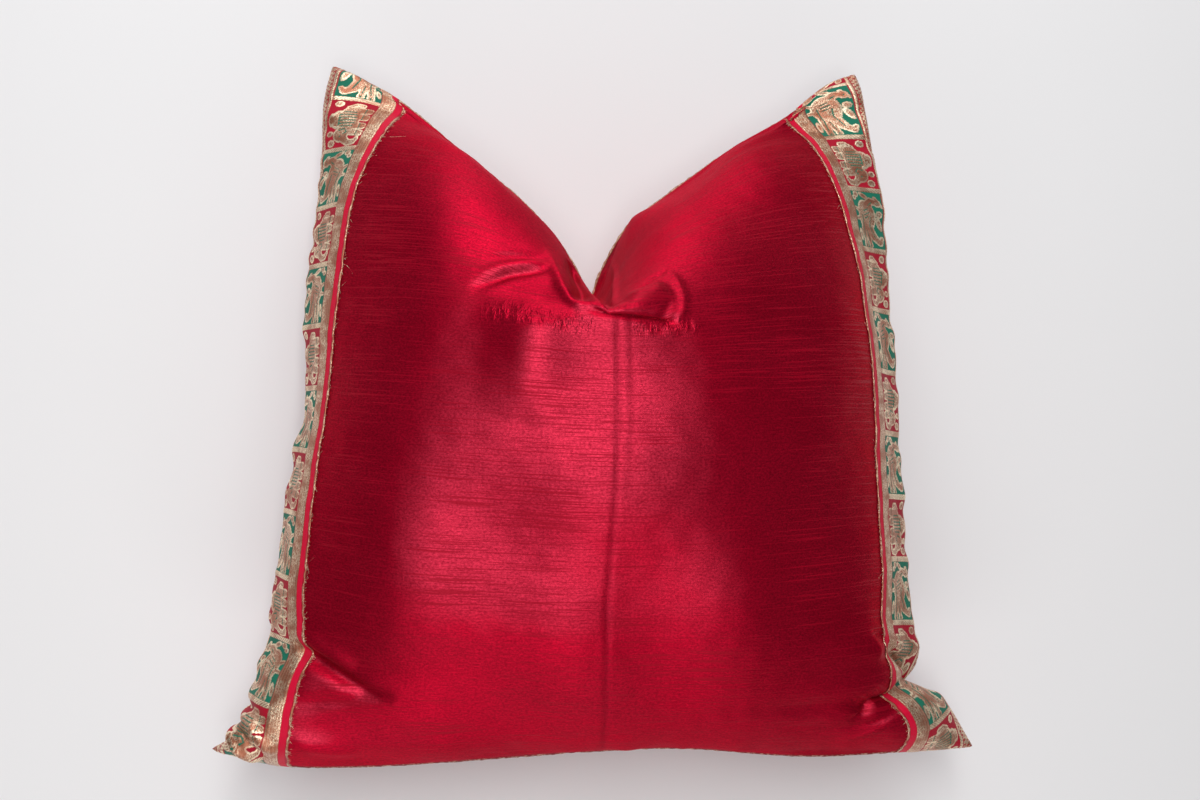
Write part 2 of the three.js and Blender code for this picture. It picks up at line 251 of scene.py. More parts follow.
# Where the figures' repeat starts, in mm above the top seam
TRIM_START = {"left": 17.5, "right": 99.5}

# Strokes of the figures, in mm from the panel's middle along the trim and from the ribbed band across it.
# Columns: kind, then for a stroke both ends and the half width at each, and for an oval its middle, its two
# half widths, its turn in degrees and 0
ELEPHANT = [
    ("oval", -2.5, 16.5, 12.0, 8.2, 0, 0),
    ("oval", 10.5, 19.5, 6.2, 5.8, 0, 0),
    ("stroke", 14.5, 17.0, 18.6, 11.5, 2.6, 2.0),
    ("stroke", 18.6, 11.5, 18.2, 5.5, 2.0, 1.5),
    ("stroke", 18.2, 5.5, 15.4, 3.6, 1.5, 1.2),
    ("stroke", 13.4, 14.6, 16.6, 13.8, 0.9, 0.6),
    ("stroke", -11.0, 13.0, -12.0, 3.0, 3.0, 2.4),
    ("stroke", -5.0, 11.0, -4.6, 3.0, 2.8, 2.3),
    ("stroke", 3.4, 11.5, 3.2, 3.0, 2.8, 2.3),
    ("stroke", 8.8, 13.0, 10.2, 3.0, 2.6, 2.2),
    ("stroke", -14.0, 20.0, -17.6, 15.0, 1.1, 0.8),
    ("stroke", -17.6, 15.0, -17.0, 10.0, 0.8, 1.3),
    ("oval", -2.5, 25.2, 6.4, 3.6, 0, 0),
    ("oval", -2.5, 29.4, 3.6, 1.7, 0, 0),
    ("oval", 17.6, 27.2, 2.2, 2.2, 0, 0),
    ("oval", -17.6, 27.2, 2.2, 2.2, 0, 0),
    ("oval", 9.6, 29.0, 1.6, 1.6, 0, 0),
]
ELEPHANT_LINES = [
    ("stroke", 7.0, 22.6, 5.6, 18.4, 0.45, 0.45),
    ("stroke", 5.6, 18.4, 8.8, 15.6, 0.45, 0.45),
    ("stroke", 8.8, 15.6, 10.4, 18.2, 0.45, 0.45),
    ("oval", 12.6, 20.6, 0.7, 0.7, 0, 0),
    ("stroke", -9.4, 22.2, -9.4, 12.6, 0.4, 0.4),
    ("stroke", -6.9, 23.2, -6.9, 11.4, 0.4, 0.4),
    ("stroke", -4.4, 23.8, -4.4, 11.0, 0.4, 0.4),
    ("stroke", -1.9, 23.8, -1.9, 11.0, 0.4, 0.4),
    ("stroke", 0.6, 23.6, 0.6, 11.4, 0.4, 0.4),
    ("stroke", 3.1, 22.8, 3.1, 12.6, 0.4, 0.4),
    ("stroke", -7.0, 24.2, 2.0, 24.2, 0.45, 0.45),
    ("stroke", -14.4, 6.4, -9.4, 6.4, 0.4, 0.4),
    ("stroke", -7.0, 6.4, -2.4, 6.4, 0.4, 0.4),
    ("stroke", 1.0, 6.4, 5.6, 6.4, 0.4, 0.4),
    ("stroke", 7.4, 6.4, 12.2, 6.4, 0.4, 0.4),
]
PEACOCK = [
    ("oval", -3.0, 14.5, 13.5, 9.6, 8, 0),
    ("stroke", -12.0, 17.0, -17.2, 21.5, 4.4, 2.5),
    ("stroke", -17.2, 21.5, -16.0, 26.5, 2.5, 2.2),
    ("oval", -15.6, 27.6, 2.8, 2.4, 0, 0),
    ("stroke", -17.6, 27.6, -20.6, 26.2, 1.1, 0.5),
    ("stroke", -14.4, 29.4, -12.8, 31.4, 0.5, 0.7),
    ("stroke", 7.0, 17.0, 16.0, 22.0, 4.6, 3.0),
    ("stroke", 16.0, 22.0, 20.5, 26.8, 3.0, 2.0),
    ("stroke", 20.5, 26.8, 16.2, 29.0, 2.0, 1.2),
    ("stroke", 8.0, 10.0, 23.0, 8.0, 3.4, 1.8),
    ("oval", 23.4, 8.2, 2.8, 2.4, 0, 0),
    ("stroke", 9.0, 13.6, 22.0, 15.6, 3.0, 1.6),
    ("oval", 23.2, 15.8, 2.4, 2.2, 0, 0),
    ("stroke", -7.0, 6.0, -9.4, 1.8, 1.2, 0.8),
    ("stroke", -1.0, 5.4, -0.6, 1.6, 1.2, 0.8),
    ("oval", -21.6, 15.2, 3.6, 1.5, 64, 0),
    ("oval", -22.6, 6.2, 2.2, 2.2, 0, 0),
    ("oval", -19.2, 3.2, 1.5, 1.5, 0, 0),
    ("oval", 3.0, 28.4, 4.2, 1.6, 18, 0),
    ("oval", -5.6, 28.2, 2.1, 2.1, 0, 0),
    ("oval", 14.4, 2.8, 3.6, 1.3, -8, 0),
]
PEACOCK_LINES = [
    ("stroke", -9.6, 17.4, -7.4, 11.6, 0.4, 0.4),
    ("stroke", -6.4, 18.4, -4.0, 11.8, 0.4, 0.4),
    ("stroke", -3.0, 17.2, -1.2, 12.4, 0.4, 0.4),
    ("oval", -15.4, 27.8, 0.6, 0.6, 0, 0),
    ("oval", 23.4, 8.2, 1.0, 0.9, 0, 0),
    ("oval", 23.2, 15.8, 0.9, 0.8, 0, 0),
    ("stroke", -3.0, 19.6, 5.0, 18.6, 0.45, 0.45),
    ("stroke", 5.0, 18.6, 15.6, 22.4, 0.45, 0.4),
    ("stroke", -4.0, 9.2, 8.0, 10.0, 0.45, 0.45),
    ("stroke", 8.0, 10.0, 19.0, 8.6, 0.45, 0.4),
    ("stroke", 9.6, 13.6, 19.0, 15.2, 0.4, 0.4),
    ("stroke", -12.6, 18.4, -15.8, 22.6, 0.4, 0.4),
]

# Single loose threads: trim, place up in hundredths, length and bend in mm, and 1 over the silk or -1 out
# past the side seam
LOOSE_THREADS = [
    ("left", 88.0, 27.0, 3.0, 1), ("left", 69.0, 17.0, -9.0, 1), ("left", 66.0, 9.0, 4.0, 1),
    ("left", 38.0, 16.0, 8.0, -1), ("left", 33.0, 12.0, -6.0, -1), ("right", 30.0, 10.0, 4.0, 1),
    ("right", 57.0, 8.0, -3.0, 1),
]

# The camera looks at this point of the frame, tilted from the face's normal towards its bottom edge and
# panned towards its left one
CAMERA_TARGET = Vector((-3.3 * MM, 3.3 * MM, 0.108))
CAMERA_TILT = math.radians(7)
CAMERA_PAN = math.radians(6)
CAMERA_DISTANCE = 1.43
CAMERA_LENS = 50
CAMERA_SENSOR = 36


class PillowSizes(bpy.types.PropertyGroup):
    """Sizes of the cover and its trims."""

    panel_side: bpy.props.FloatProperty(
        name="Panel side", description="Side of the square that each silk panel is cut to",
        default=0.66, unit="LENGTH")
    crease_depth: bpy.props.FloatProperty(
        name="Crease depth", description="Share of the creases' full depth", default=1.0, subtype="FACTOR")
    trim_width: bpy.props.FloatProperty(
        name="Trim width", description="Width of a trim, from its side seam", default=0.0645, unit="LENGTH")
    trim_height: bpy.props.FloatProperty(
        name="Trim height", description="Height of a trim's face over the silk", default=1.1 * MM,
        unit="LENGTH")
    relief: bpy.props.FloatProperty(
        name="Thread relief", description="Height of the metal threads over the trim's ground",
        default=0.45 * MM, unit="LENGTH")
    seam_radius: bpy.props.FloatProperty(
        name="Seam radius", description="Half width of the turned edge along the seams",
        default=0.8 * MM, unit="LENGTH")
    thread_radius: bpy.props.FloatProperty(
        name="Thread radius", description="Half width of a frayed thread", default=0.16 * MM,
        unit="LENGTH")


class PillowColours(bpy.types.PropertyGroup):
    """Colours of the silk, the trims and the ground below."""

    silk_bright: bpy.props.FloatVectorProperty(
        name="Silk, bright thread", description="Crimson thread of the shot silk",
        default=(0.62, 0.004, 0.032), subtype="COLOR")
    # Painted sheen: a paler, pinker crimson put where the silk faces the eye, standing in for its shine there
    silk_painted_sheen: bpy.props.FloatVectorProperty(
        name="Silk, face on", description="Colour of the shot silk where it faces the eye",
        default=(0.70, 0.034, 0.08), subtype="COLOR")
    silk_deep: bpy.props.FloatVectorProperty(
        name="Silk, deep thread", description="Maroon thread of the shot silk",
        default=(0.2, 0.001, 0.012), subtype="COLOR")
    silk_slub: bpy.props.FloatVectorProperty(
        name="Slub", description="Thick uneven threads", default=(0.33, 0.0, 0.013), subtype="COLOR")
    trim_green: bpy.props.FloatVectorProperty(
        name="Trim green", description="Ground of the green panels", default=(0.008, 0.17, 0.105),
        subtype="COLOR")
    trim_red: bpy.props.FloatVectorProperty(
        name="Trim red", description="Ground of the red panels", default=(0.42, 0.002, 0.022),
        subtype="COLOR")
    zari_copper: bpy.props.FloatVectorProperty(
        name="Copper thread", description="Metal thread that fills the figures",
        default=(0.45, 0.165, 0.095), subtype="COLOR")
    # Also painted over the trim's metal as highlights, in random lit patches and speckled glints
    zari_pale: bpy.props.FloatVectorProperty(
        name="Pale gold thread", description="Metal thread of the outlines, ropes and bars",
        default=(1.0, 0.83, 0.6), subtype="COLOR")
    stripe_crimson: bpy.props.FloatVectorProperty(
        name="Stripe crimson", description="Plain stripe beside the silk", default=(0.66, 0.0, 0.035),
        subtype="COLOR")
    seam_tan: bpy.props.FloatVectorProperty(
        name="Seam tan", description="Turned edge along the seams", default=(0.32, 0.15, 0.085),
        subtype="COLOR")
    ground: bpy.props.FloatVectorProperty(
        name="Ground", description="Plain surface that the pillow lies on", default=(0.84, 0.84, 0.855),
        subtype="COLOR")


def even_points(points, cells):
    """Points at even steps along the centripetal Catmull-Rom curve through the given points.

    Between two points the curve is the cubic whose end slopes are the neighbours' differences, each
    weighted by the square root of its length. The curve is read densely, its length added up, and its
    x, y and z looked up at even lengths.
    """
    points = np.array(points, float)
    ends = np.vstack([2 * points[0] - points[1], points, 2 * points[-1] - points[-2]])
    before, start, end, after = ends[:-3], ends[1:-2], ends[2:-1], ends[3:]
    first, middle, last = (
        np.linalg.norm(step, axis=1, keepdims=True) ** 0.5
        for step in (start - before, end - start, after - end)
    )
    slope_in = (start - before) / first - (end - before) / (first + middle) + (end - start) / middle
    slope_out = (end - start) / middle - (after - start) / (middle + last) + (after - end) / last
    slope_in, slope_out = slope_in * middle, slope_out * middle
    t = np.linspace(0, 1, 400, endpoint=False)[None, :, None]
    a, b, c, d = (v[:, None] for v in (start, end, slope_in, slope_out))
    curve = a + c * t + (3 * (b - a) - 2 * c - d) * t**2 + (2 * (a - b) + c + d) * t**3
    curve = np.vstack([curve.reshape(-1, 3), points[-1:]])
    length = np.r_[0, np.cumsum(np.linalg.norm(np.diff(curve, axis=0), axis=1))]
    even = np.linspace(0, length[-1], cells + 1)
    return np.stack([np.interp(even, length, curve[:, k]) for k in range(3)], axis=1)


def turned_ends(along):
    """How much a side seam is turned under at each place: nothing at its ends."""
    return np.clip(along / 0.15, 0, 1) * np.clip((1 - along) / 0.05, 0, 1)


def seam_runs(side, cells):
    """The four seams as cells + 1 points each, with the dents of the side seams.

    A dent moves the seam towards the middle by its depth times a bell curve of the distance along it.
    """
    runs = {name: even_points(np.array(rows) * side / 100, cells) for name, rows in SEAMS.items()}
    along = np.linspace(0, 1, cells + 1)
    for name, place, depth, width in SEAM_DENTS:
        away = (along - place / 100) * side / (width * MM)
        inward = 1 if name == "left" else -1
        runs[name][:, 0] += inward * depth * MM * np.exp(-(away**2))
    runs["left"][:, 0] += SEAM_TURNS["left"] * MM * turned_ends(along)
    runs["right"][:, 0] -= SEAM_TURNS["right"] * MM * turned_ends(along)
    return runs


def patch(runs):
    """The surface that the seams span: the two ruled surfaces between facing seams added up, less the
    surface through the four corners."""
    cells = len(runs["top"]) - 1
    across = np.linspace(0, 1, cells + 1)[None, :, None]
    up = np.linspace(0, 1, cells + 1)[:, None, None]
    left, right, bottom, top = runs["left"], runs["right"], runs["bottom"], runs["top"]
    ruled = (1 - across) * left[:, None] + across * right[:, None] + (1 - up) * bottom + up * top
    low = (1 - across) * bottom[0] + across * bottom[-1]
    high = (1 - across) * top[0] + across * top[-1]
    return ruled - (1 - up) * low - up * high


def slack_cover(runs):
    """Both panels before filling: the patch, raised or lowered by a half ellipse each way."""
    base = patch(runs)
    reach = np.linspace(-1, 1, len(base))
    rise = np.sqrt((1 - reach[None, :] ** 2) * (1 - reach[:, None] ** 2))
    cloth = np.stack([base, base])
    cloth[..., 2] += np.array(SLACK_HEIGHTS)[:, None, None] * rise
    cloth[..., 2] = np.maximum(cloth[..., 2], 0)
    return cloth


def finer(cloth):
    """The same cloth with a point between each two: a new point is 9/16 of its two neighbours less 1/16 of
    the two beyond, and the mean of two at the edge."""
    for axis in (1, 2):
        cloth = np.moveaxis(cloth, axis, 0)
        between = (cloth[1:] + cloth[:-1]) / 2
        between[1:-1] = (9 * (cloth[2:-1] + cloth[1:-2]) - cloth[3:] - cloth[:-3]) / 16
        made = np.empty((2 * len(cloth) - 1,) + cloth.shape[1:])
        made[::2], made[1::2] = cloth, between
        cloth = np.moveaxis(made, 0, axis)
    return cloth


def normals(grid):
    """Cross products of the differences across and up at each point of a grid, outwards on a face."""
    across = np.empty_like(grid)
    up = np.empty_like(grid)
    across[..., 1:-1, :] = grid[..., 2:, :] - grid[..., :-2, :]
    across[..., 0, :] = grid[..., 1, :] - grid[..., 0, :]
    across[..., -1, :] = grid[..., -1, :] - grid[..., -2, :]
    up[..., 1:-1, :, :] = grid[..., 2:, :, :] - grid[..., :-2, :, :]
    up[..., 0, :, :] = grid[..., 1, :, :] - grid[..., 0, :, :]
    up[..., -1, :, :] = grid[..., -1, :, :] - grid[..., -2, :, :]
    return np.cross(across, up)


def unit(vectors):
    return vectors / np.maximum(np.linalg.norm(vectors, axis=-1, keepdims=True), 1e-12)


def rest_lengths(side, cells):
    """Rest length of every link at its first point, as the cut length times the ease there.

    Across, the ease runs from its middle value to its edge value with the fourth power of the distance
    from the middle row. Along, it is less in a bell round the notch, above the middle row.
    """
    up = np.linspace(0, 1, cells + 1)[None, :, None]
    across = np.linspace(0, 1, cells + 1)[None, None, :]
    middle, edge, along, notch = (
        np.array(values)[:, None, None] for values in (EASE_MIDDLE, EASE_EDGE, EASE_ALONG, EASE_NOTCH)
    )
    ease_across = middle + (edge - middle) * (2 * up - 1) ** 4 + 0 * across
    gather = np.exp(-(((across - NOTCH["across"]) / GATHER_WIDTH) ** 2))
    ease_along = along - notch * gather * np.clip((up - 0.5) / GATHER_RISE, 0, 1)
    cell = side / cells
    return [np.hypot(cell * columns * ease_across, cell * rows * ease_along) for rows, columns, *_ in LINKS]


def settle_link(cloth, link, rest, phase):
    """Moves both ends of every second link of a kind: each goes half way along the link by its share of
    the error in length."""
    rows, columns, pull, push = link
    count = cloth.shape[1]
    reach = rows or columns
    starts = np.arange(count - reach)
    starts = starts[(starts // reach) % 2 == phase]
    if rows:
        near = slice(0, count - columns) if columns >= 0 else slice(-columns, count)
        far = slice(columns, count) if columns >= 0 else slice(0, count + columns)
        here = (slice(None), starts, near)
        there = (slice(None), starts + rows, far)
    else:
        here = (slice(None), slice(None), starts)
        there = (slice(None), slice(None), starts + columns)
    start, end = cloth[here], cloth[there]
    gap = end - start
    error = 1 - rest[here] / (np.sqrt((gap**2).sum(-1)) + 1e-9)
    move = (0.5 * error * np.where(error > 0, pull, push))[..., None] * gap
    cloth[here] = start + move
    cloth[there] = end - move


def hold(cloth, runs, heights, notch_floor):
    """Keeps the face over the seams' patch and the back between it and the ground, the ears out of the
    notch's wedge, and the seam in place."""
    cloth[0, ..., 2] = np.maximum(cloth[0, ..., 2], heights + PANEL_GAP)
    cloth[1, ..., 2] = np.clip(cloth[1, ..., 2], 0, heights - PANEL_GAP)
    middle = round(NOTCH["across"] * (cloth.shape[1] - 1))
    floor = notch_floor[1] - NOTCH["lean"] * np.abs(cloth[..., 2] - notch_floor[2])
    rise = np.maximum(cloth[..., 1] - floor, 0)
    left, right = cloth[:, :, :middle], cloth[:, :, middle + 1 :]
    wall = notch_floor[0] - NOTCH["left"] * rise[:, :, :middle] - NOTCH["clearance"]
    left[..., 0] = np.where(rise[:, :, :middle] > 0, np.minimum(left[..., 0], wall), left[..., 0])
    wall = notch_floor[0] + NOTCH["right"] * rise[:, :, middle + 1 :] + NOTCH["clearance"]
    right[..., 0] = np.where(rise[:, :, middle + 1 :] > 0, np.maximum(right[..., 0], wall), right[..., 0])
    cloth[:, :, middle, 1] -= rise[:, :, middle]
    cloth[:, :, 0], cloth[:, :, -1] = runs["left"], runs["right"]
    cloth[:, 0], cloth[:, -1] = runs["bottom"], runs["top"]


def settle(cloth, runs, side, steps):
    """Swells both panels until their threads are taut: each step carries on the last movement, pushes every
    point out along its normal, and then evens the links over a few passes."""
    cells = cloth.shape[1] - 1
    cell = side / cells
    rests = rest_lengths(side, cells)
    heights = patch(runs)[..., 2]
    notch_floor = np.array(NOTCH_FLOOR) * side / 100
    outwards = np.array([1, -1])[:, None, None, None] / (4 * cell**2)
    last = cloth.copy()
    for _ in range(steps):
        now = cloth.copy()
        cloth = cloth + CARRY_OVER * (cloth - last) + SWELL * cell * normals(cloth) * outwards
        last = now
        for _ in range(PASSES):
            for link, rest in zip(LINKS, rests):
                settle_link(cloth, link, rest, 0)
                settle_link(cloth, link, rest, 1)
            hold(cloth, runs, heights, notch_floor)
    return cloth


def waves(x, y, shortest, longest, seed, count=40):
    """A smooth uneven height of about 1: the sum of many plane cosine waves, each with a direction, a
    length between the two limits and a phase of its own, over the root of half their number."""
    rng = np.random.default_rng(seed)
    turn = rng.uniform(0, 2 * math.pi, count)
    length = np.exp(rng.uniform(math.log(shortest), math.log(longest), count)) * MM
    phase = rng.uniform(0, 2 * math.pi, count)
    total = np.zeros(np.broadcast(x, y).shape)
    for k in range(count):
        angle = 2 * math.pi * (x * math.cos(turn[k]) + y * math.sin(turn[k])) / length[k] + phase[k]
        total += np.cos(angle)
    return total / math.sqrt(count / 2)


def crease_moves(crease, x, y, side):
    """Height of one crease over the flat cloth, and how far it draws the cloth across and up.

    The height is the crease's own times a bell curve of the distance to its path, times a half sine over
    each end that fades. The draw is its overhang, towards the path, times a bell curve about the line one
    and a half widths from the path on its upper side.
    """
    path = np.array(crease["path"], float) * side / 100
    width = crease["width"] * MM
    steps = np.linalg.norm(np.diff(path, axis=0), axis=1)
    done = np.r_[0, np.cumsum(steps)] / steps.sum()
    nearest = np.full(x.shape, np.inf)
    place, upper, draw_x, draw_y = (np.zeros(x.shape) for _ in range(4))
    for k, step in enumerate(np.diff(path, axis=0)):
        share = ((x - path[k, 0]) * step[0] + (y - path[k, 1]) * step[1]) / (step**2).sum()
        share = np.clip(share, 0, 1)
        aside_x, aside_y = x - path[k, 0] - share * step[0], y - path[k, 1] - share * step[1]
        away = np.hypot(aside_x, aside_y)
        closer = away < nearest
        nearest = np.where(closer, away, nearest)
        place = np.where(closer, done[k] + share * (done[k + 1] - done[k]), place)
        upper = np.where(closer, np.sign(step[0] * aside_y - step[1] * aside_x), upper)
        draw_x = np.where(closer, -aside_x / np.maximum(away, 1e-9), draw_x)
        draw_y = np.where(closer, -aside_y / np.maximum(away, 1e-9), draw_y)
    fade = np.sin(math.pi / 2 * np.clip(place / crease["fade"][0], 0, 1))
    fade *= np.sin(math.pi / 2 * np.clip((1 - place) / crease["fade"][1], 0, 1))
    height = crease["height"] * MM * fade * np.exp(-((nearest / width) ** 2))
    over = crease.get("overhang", 0) * MM * fade * np.exp(-(((upper * nearest - 1.5 * width) / width) ** 2))
    return height, over * draw_x, over * draw_y


def seam_ripple(name, x, y, side, seed):
    """Ripples beside one seam: uneven waves along it, times a fade with the distance from it."""
    height, reach, shortest, longest = SEAM_RIPPLES[name]
    away = {"top": side - y, "bottom": y, "left": x, "right": side - x}[name]
    along = x if name in ("top", "bottom") else y
    fade = np.exp(-away / (reach * MM)) * np.clip(away / (6 * MM), 0, 1)
    return height * MM * fade * waves(along + 0.12 * away, 0 * along, shortest, longest, seed)


def pucker_row(row, x, y, side):
    """How much of a row of puckers is at each place: a bell curve across the row, fading at its ends."""
    start, end = (place * side / 100 for place in row["across"])
    fade = np.clip((x - start) / (20 * MM), 0, 1) * np.clip((end - x) / (20 * MM), 0, 1)
    return fade * np.exp(-(((y - row["up"] * side / 100) / (row["half"] * MM)) ** 2))


def press_creases(cloth, side, depth):
    """Adds the creases, ripples, puckers and unevenness to both panels, along their normals and away from
    the seams, which stay in place."""
    cells = cloth.shape[1] - 1
    x, y = np.meshgrid(np.linspace(0, side, cells + 1), np.linspace(0, side, cells + 1))
    edge = np.minimum(np.minimum(x, side - x), np.minimum(y, side - y))
    inside = np.clip(edge / (12 * MM), 0, 1)
    lumps = np.stack([
        FILLING_LUMPS[0] * MM * waves(x, y, *FILLING_LUMPS[1:], seed=7)
        + SILK_CRUMPLE[0] * MM * waves(x, y, *SILK_CRUMPLE[1:], seed=11),
        SILK_CRUMPLE[0] * MM * waves(x, y, *SILK_CRUMPLE[1:], seed=13),
    ])
    for k, name in enumerate(SEAM_RIPPLES):
        lumps[0] += seam_ripple(name, x, y, side, 20 + k)
        lumps[1] += seam_ripple(name, x, y, side, 30 + k)
    for row in PUCKER_ROWS:
        lumps[0] += row["height"] * MM * pucker_row(row, x, y, side) * waves(x, 0.45 * y, 6.5, 12, seed=41)
    lumps *= inside
    raised, sunk, drawn_x, drawn_y = (np.zeros(x.shape) for _ in range(4))
    for crease in CREASES:
        height, draw_x, draw_y = crease_moves(crease, x, y, side)
        if crease.get("sunk"):
            sunk += height
        else:
            raised += height
        drawn_x += draw_x
        drawn_y += draw_y
    free = np.clip(edge / (3 * MM), 0, 1)
    lumps[0] += raised * free
    away = unit(normals(cloth) * np.array([1, -1])[:, None, None, None])
    cell = side / cells
    across, up = np.gradient(cloth[0], cell, axis=1), np.gradient(cloth[0], cell, axis=0)
    draw = (drawn_x * free)[..., None] * across + (drawn_y * free)[..., None] * up
    cloth = cloth + depth * lumps[..., None] * away
    cloth[0] += depth * draw
    cloth[0, ..., 2] += depth * sunk * free
    cloth[..., 2] = np.maximum(cloth[..., 2], 0)
    return cloth


def lean_sides(face, side):
    """Leans the face beside both side seams, so that the stripe's place lies on its line.

    In each row the cloth between the seam and the stripe keeps its length: what the stripe moves inwards,
    it sinks by Pythagoras' rule. The move grows as a sine up to the stripe and fades as a cosine beyond.
    """
    cells = len(face) - 1
    share = np.linspace(0, 1, cells + 1)
    grow = np.sin(math.pi / 2 * np.clip(share / STRIPE_PLACE, 0, 1))
    fade = 0.5 + 0.5 * np.cos(math.pi * np.clip((share - STRIPE_PLACE) / (LEAN_END - STRIPE_PLACE), 0, 1))
    column = round(STRIPE_PLACE * cells)
    inside = np.minimum(share, 1 - share)
    upright = np.sin(math.pi / 2 * np.clip(inside / 0.07, 0, 1))
    ends = np.stack([np.clip(inside / 0.02, 0, 1), 0 * share, upright], -1)
    beside = share * side / MM
    bulge = np.exp(-(((beside - BULGE_PLACE) / BULGE_WIDTH) ** 2)) * np.clip(2 * beside / BULGE_WIDTH, 0, 1)
    for name, line in STRIPE_LINES.items():
        rows = face if name == "left" else face[:, ::-1]
        curve = even_points([(x, y, 0) for x, y in line], 200) * side / 100
        seam, here = rows[:, 0], rows[:, column]
        aim = np.interp(here[:, 1], curve[:, 1], curve[:, 0])
        length = np.linalg.norm(np.diff(rows[:, : column + 1], axis=1), axis=2).sum(1)
        rise = here[:, 2] - seam[:, 2]
        flat = (aim - seam[:, 0]) ** 2 + (here[:, 1] - seam[:, 1]) ** 2
        new_rise = np.sqrt(np.maximum(length**2 - flat, (0.3 * rise) ** 2))
        move = np.stack([aim - here[:, 0], 0 * aim, new_rise - rise], -1) * ends
        for _ in range(LEAN_EVENING):
            move[1:-1] = (move[:-2] + 2 * move[1:-1] + move[2:]) / 4
        rows += (grow * fade)[None, :, None] * move[:, None]
        outwards = -1 if name == "left" else 1
        rows[..., 0] += outwards * BULGES[name] * MM * turned_ends(share)[:, None] * bulge
        reach = outwards * rows[:, column - 3 :, 0] + WALL_LEANS[name] * rows[:, column - 3 :, 2]
        beyond = reach - np.minimum.accumulate(reach, axis=1)
        for _ in range(LEAN_EVENING):
            beyond[1:-1] = (beyond[:-2] + 2 * beyond[1:-1] + beyond[2:]) / 4
        rows[:, column - 3 :, 0] -= outwards * beyond
    return face


def tuck_ears(cloth, side):
    """Draws both panels in beside the top seam, so that the seam stays the outermost line of the ears.

    Seen from above, a point may reach the seam's line less a share of its height over or under the seam,
    and less than that near the notch's floor. What lies beyond is moved back square to the line, with a
    soft start.
    """
    seam = cloth[0, -1]
    floor = seam[np.argmin(seam[:, 1]), 0]
    slope = np.gradient(seam[:, 1]) / np.gradient(seam[:, 0])
    up = np.linspace(0, side, len(seam))[:, None]
    free = np.clip((side - up) / (8 * MM), 0, 1)
    for panel, share in zip(cloth, TUCK_SHARES):
        line, steep, level = (np.interp(panel[..., 0], seam[:, 0], v) for v in (seam[:, 1], slope, seam[:, 2]))
        share = share * (0.5 + 0.5 * np.clip(np.abs(panel[..., 0] - floor) / TUCK_REACH, 0, 1))
        beyond = panel[..., 1] - line + share * np.abs(panel[..., 2] - level)
        beyond = (beyond + np.sqrt(beyond**2 + TUCK_START**2)) / 2 * free / (1 + steep**2)
        panel[..., 0] += beyond * steep
        panel[..., 1] -= beyond
    return cloth


def filled_cloth(side, depth):
    """The two panels of the filled cover, settled level by level, creased and centred in the frame."""
    cloth = None
    for cells, steps in LEVELS:
        runs = seam_runs(side, cells)
        if cloth is None:
            cloth = settle(slack_cover(runs), runs, side, steps)
            continue
        cloth = finer(cloth)
        hold(cloth, runs, patch(runs)[..., 2], np.array(NOTCH_FLOOR) * side / 100)
        cloth = settle(cloth, runs, side, steps)
    low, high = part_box("filled_cover")
    flat = cloth.reshape(-1, 3)
    shift = (np.array(low) + np.array(high) - flat.min(0) - flat.max(0)) / 2
    cloth += shift * [1, 1, 0]
    lean_sides(cloth[0], side)
    tuck_ears(cloth, side)
    return press_creases(cloth, side, depth)


def fill_mesh(name, points, faces, material, layers=None):
    """A new object with these points and faces, smooth, with one material and its point values."""
    mesh = bpy.data.meshes.new(name)
    mesh.from_pydata(points.tolist(), [], faces)
    for layer, values in (layers or {}).items():
        attribute = mesh.attributes.new(layer, "FLOAT", "POINT")
        attribute.data.foreach_set("value", np.ascontiguousarray(values, np.float32))
    mesh.materials.append(material)
    mesh.polygons.foreach_set("use_smooth", np.ones(len(mesh.polygons), bool))
    mesh.update()
    made = bpy.data.objects.new(name, mesh)
    bpy.context.scene.collection.objects.link(made)
    return made


def flat_map(made, places):
    """Gives an object the UV map "cloth", with each point's place on the flat cloth in metres."""
    corners = np.empty(len(made.data.loops), np.int32)
    made.data.loops.foreach_get("vertex_index", corners)
    made.data.uv_layers.new(name="cloth").uv.foreach_set("vector", places[corners].astype(np.float32).ravel())


def grid_quads(index):
    """Quads of a grid of vertex numbers, facing along across times up."""
    corners = (index[:-1, :-1], index[:-1, 1:], index[1:, 1:], index[1:, :-1])
    return np.stack(corners, -1).reshape(-1, 4)


def back_faces(index, coarse):
    """Faces of the back: quads between every BACK_STEP points, whose edges on the seam take in the points
    between, so that the back closes on the face's finer seam."""
    quads = grid_quads(coarse)[:, ::-1]
    count = coarse.shape[0] - 1
    row, column = np.divmod(np.arange(count * count), count)
    border = (row == 0) | (row == count - 1) | (column == 0) | (column == count - 1)
    faces = quads[~border].tolist()
    for r, c in zip(row[border], column[border]):
        low, high = BACK_STEP * r, BACK_STEP * (r + 1)
        left, right = BACK_STEP * c, BACK_STEP * (c + 1)
        ring = [coarse[r, c]]
        if c == 0:
            ring += index[low + 1 : high, 0].tolist()
        ring.append(coarse[r + 1, c])
        if r == count - 1:
            ring += index[-1, left + 1 : right].tolist()
        ring.append(coarse[r + 1, c + 1])
        if c == count - 1:
            ring += index[low + 1 : high, -1][::-1].tolist()
        ring.append(coarse[r, c + 1])
        if r == 0:
            ring += index[0, left + 1 : right][::-1].tolist()
        faces.append([int(v) for v in ring])
    return faces


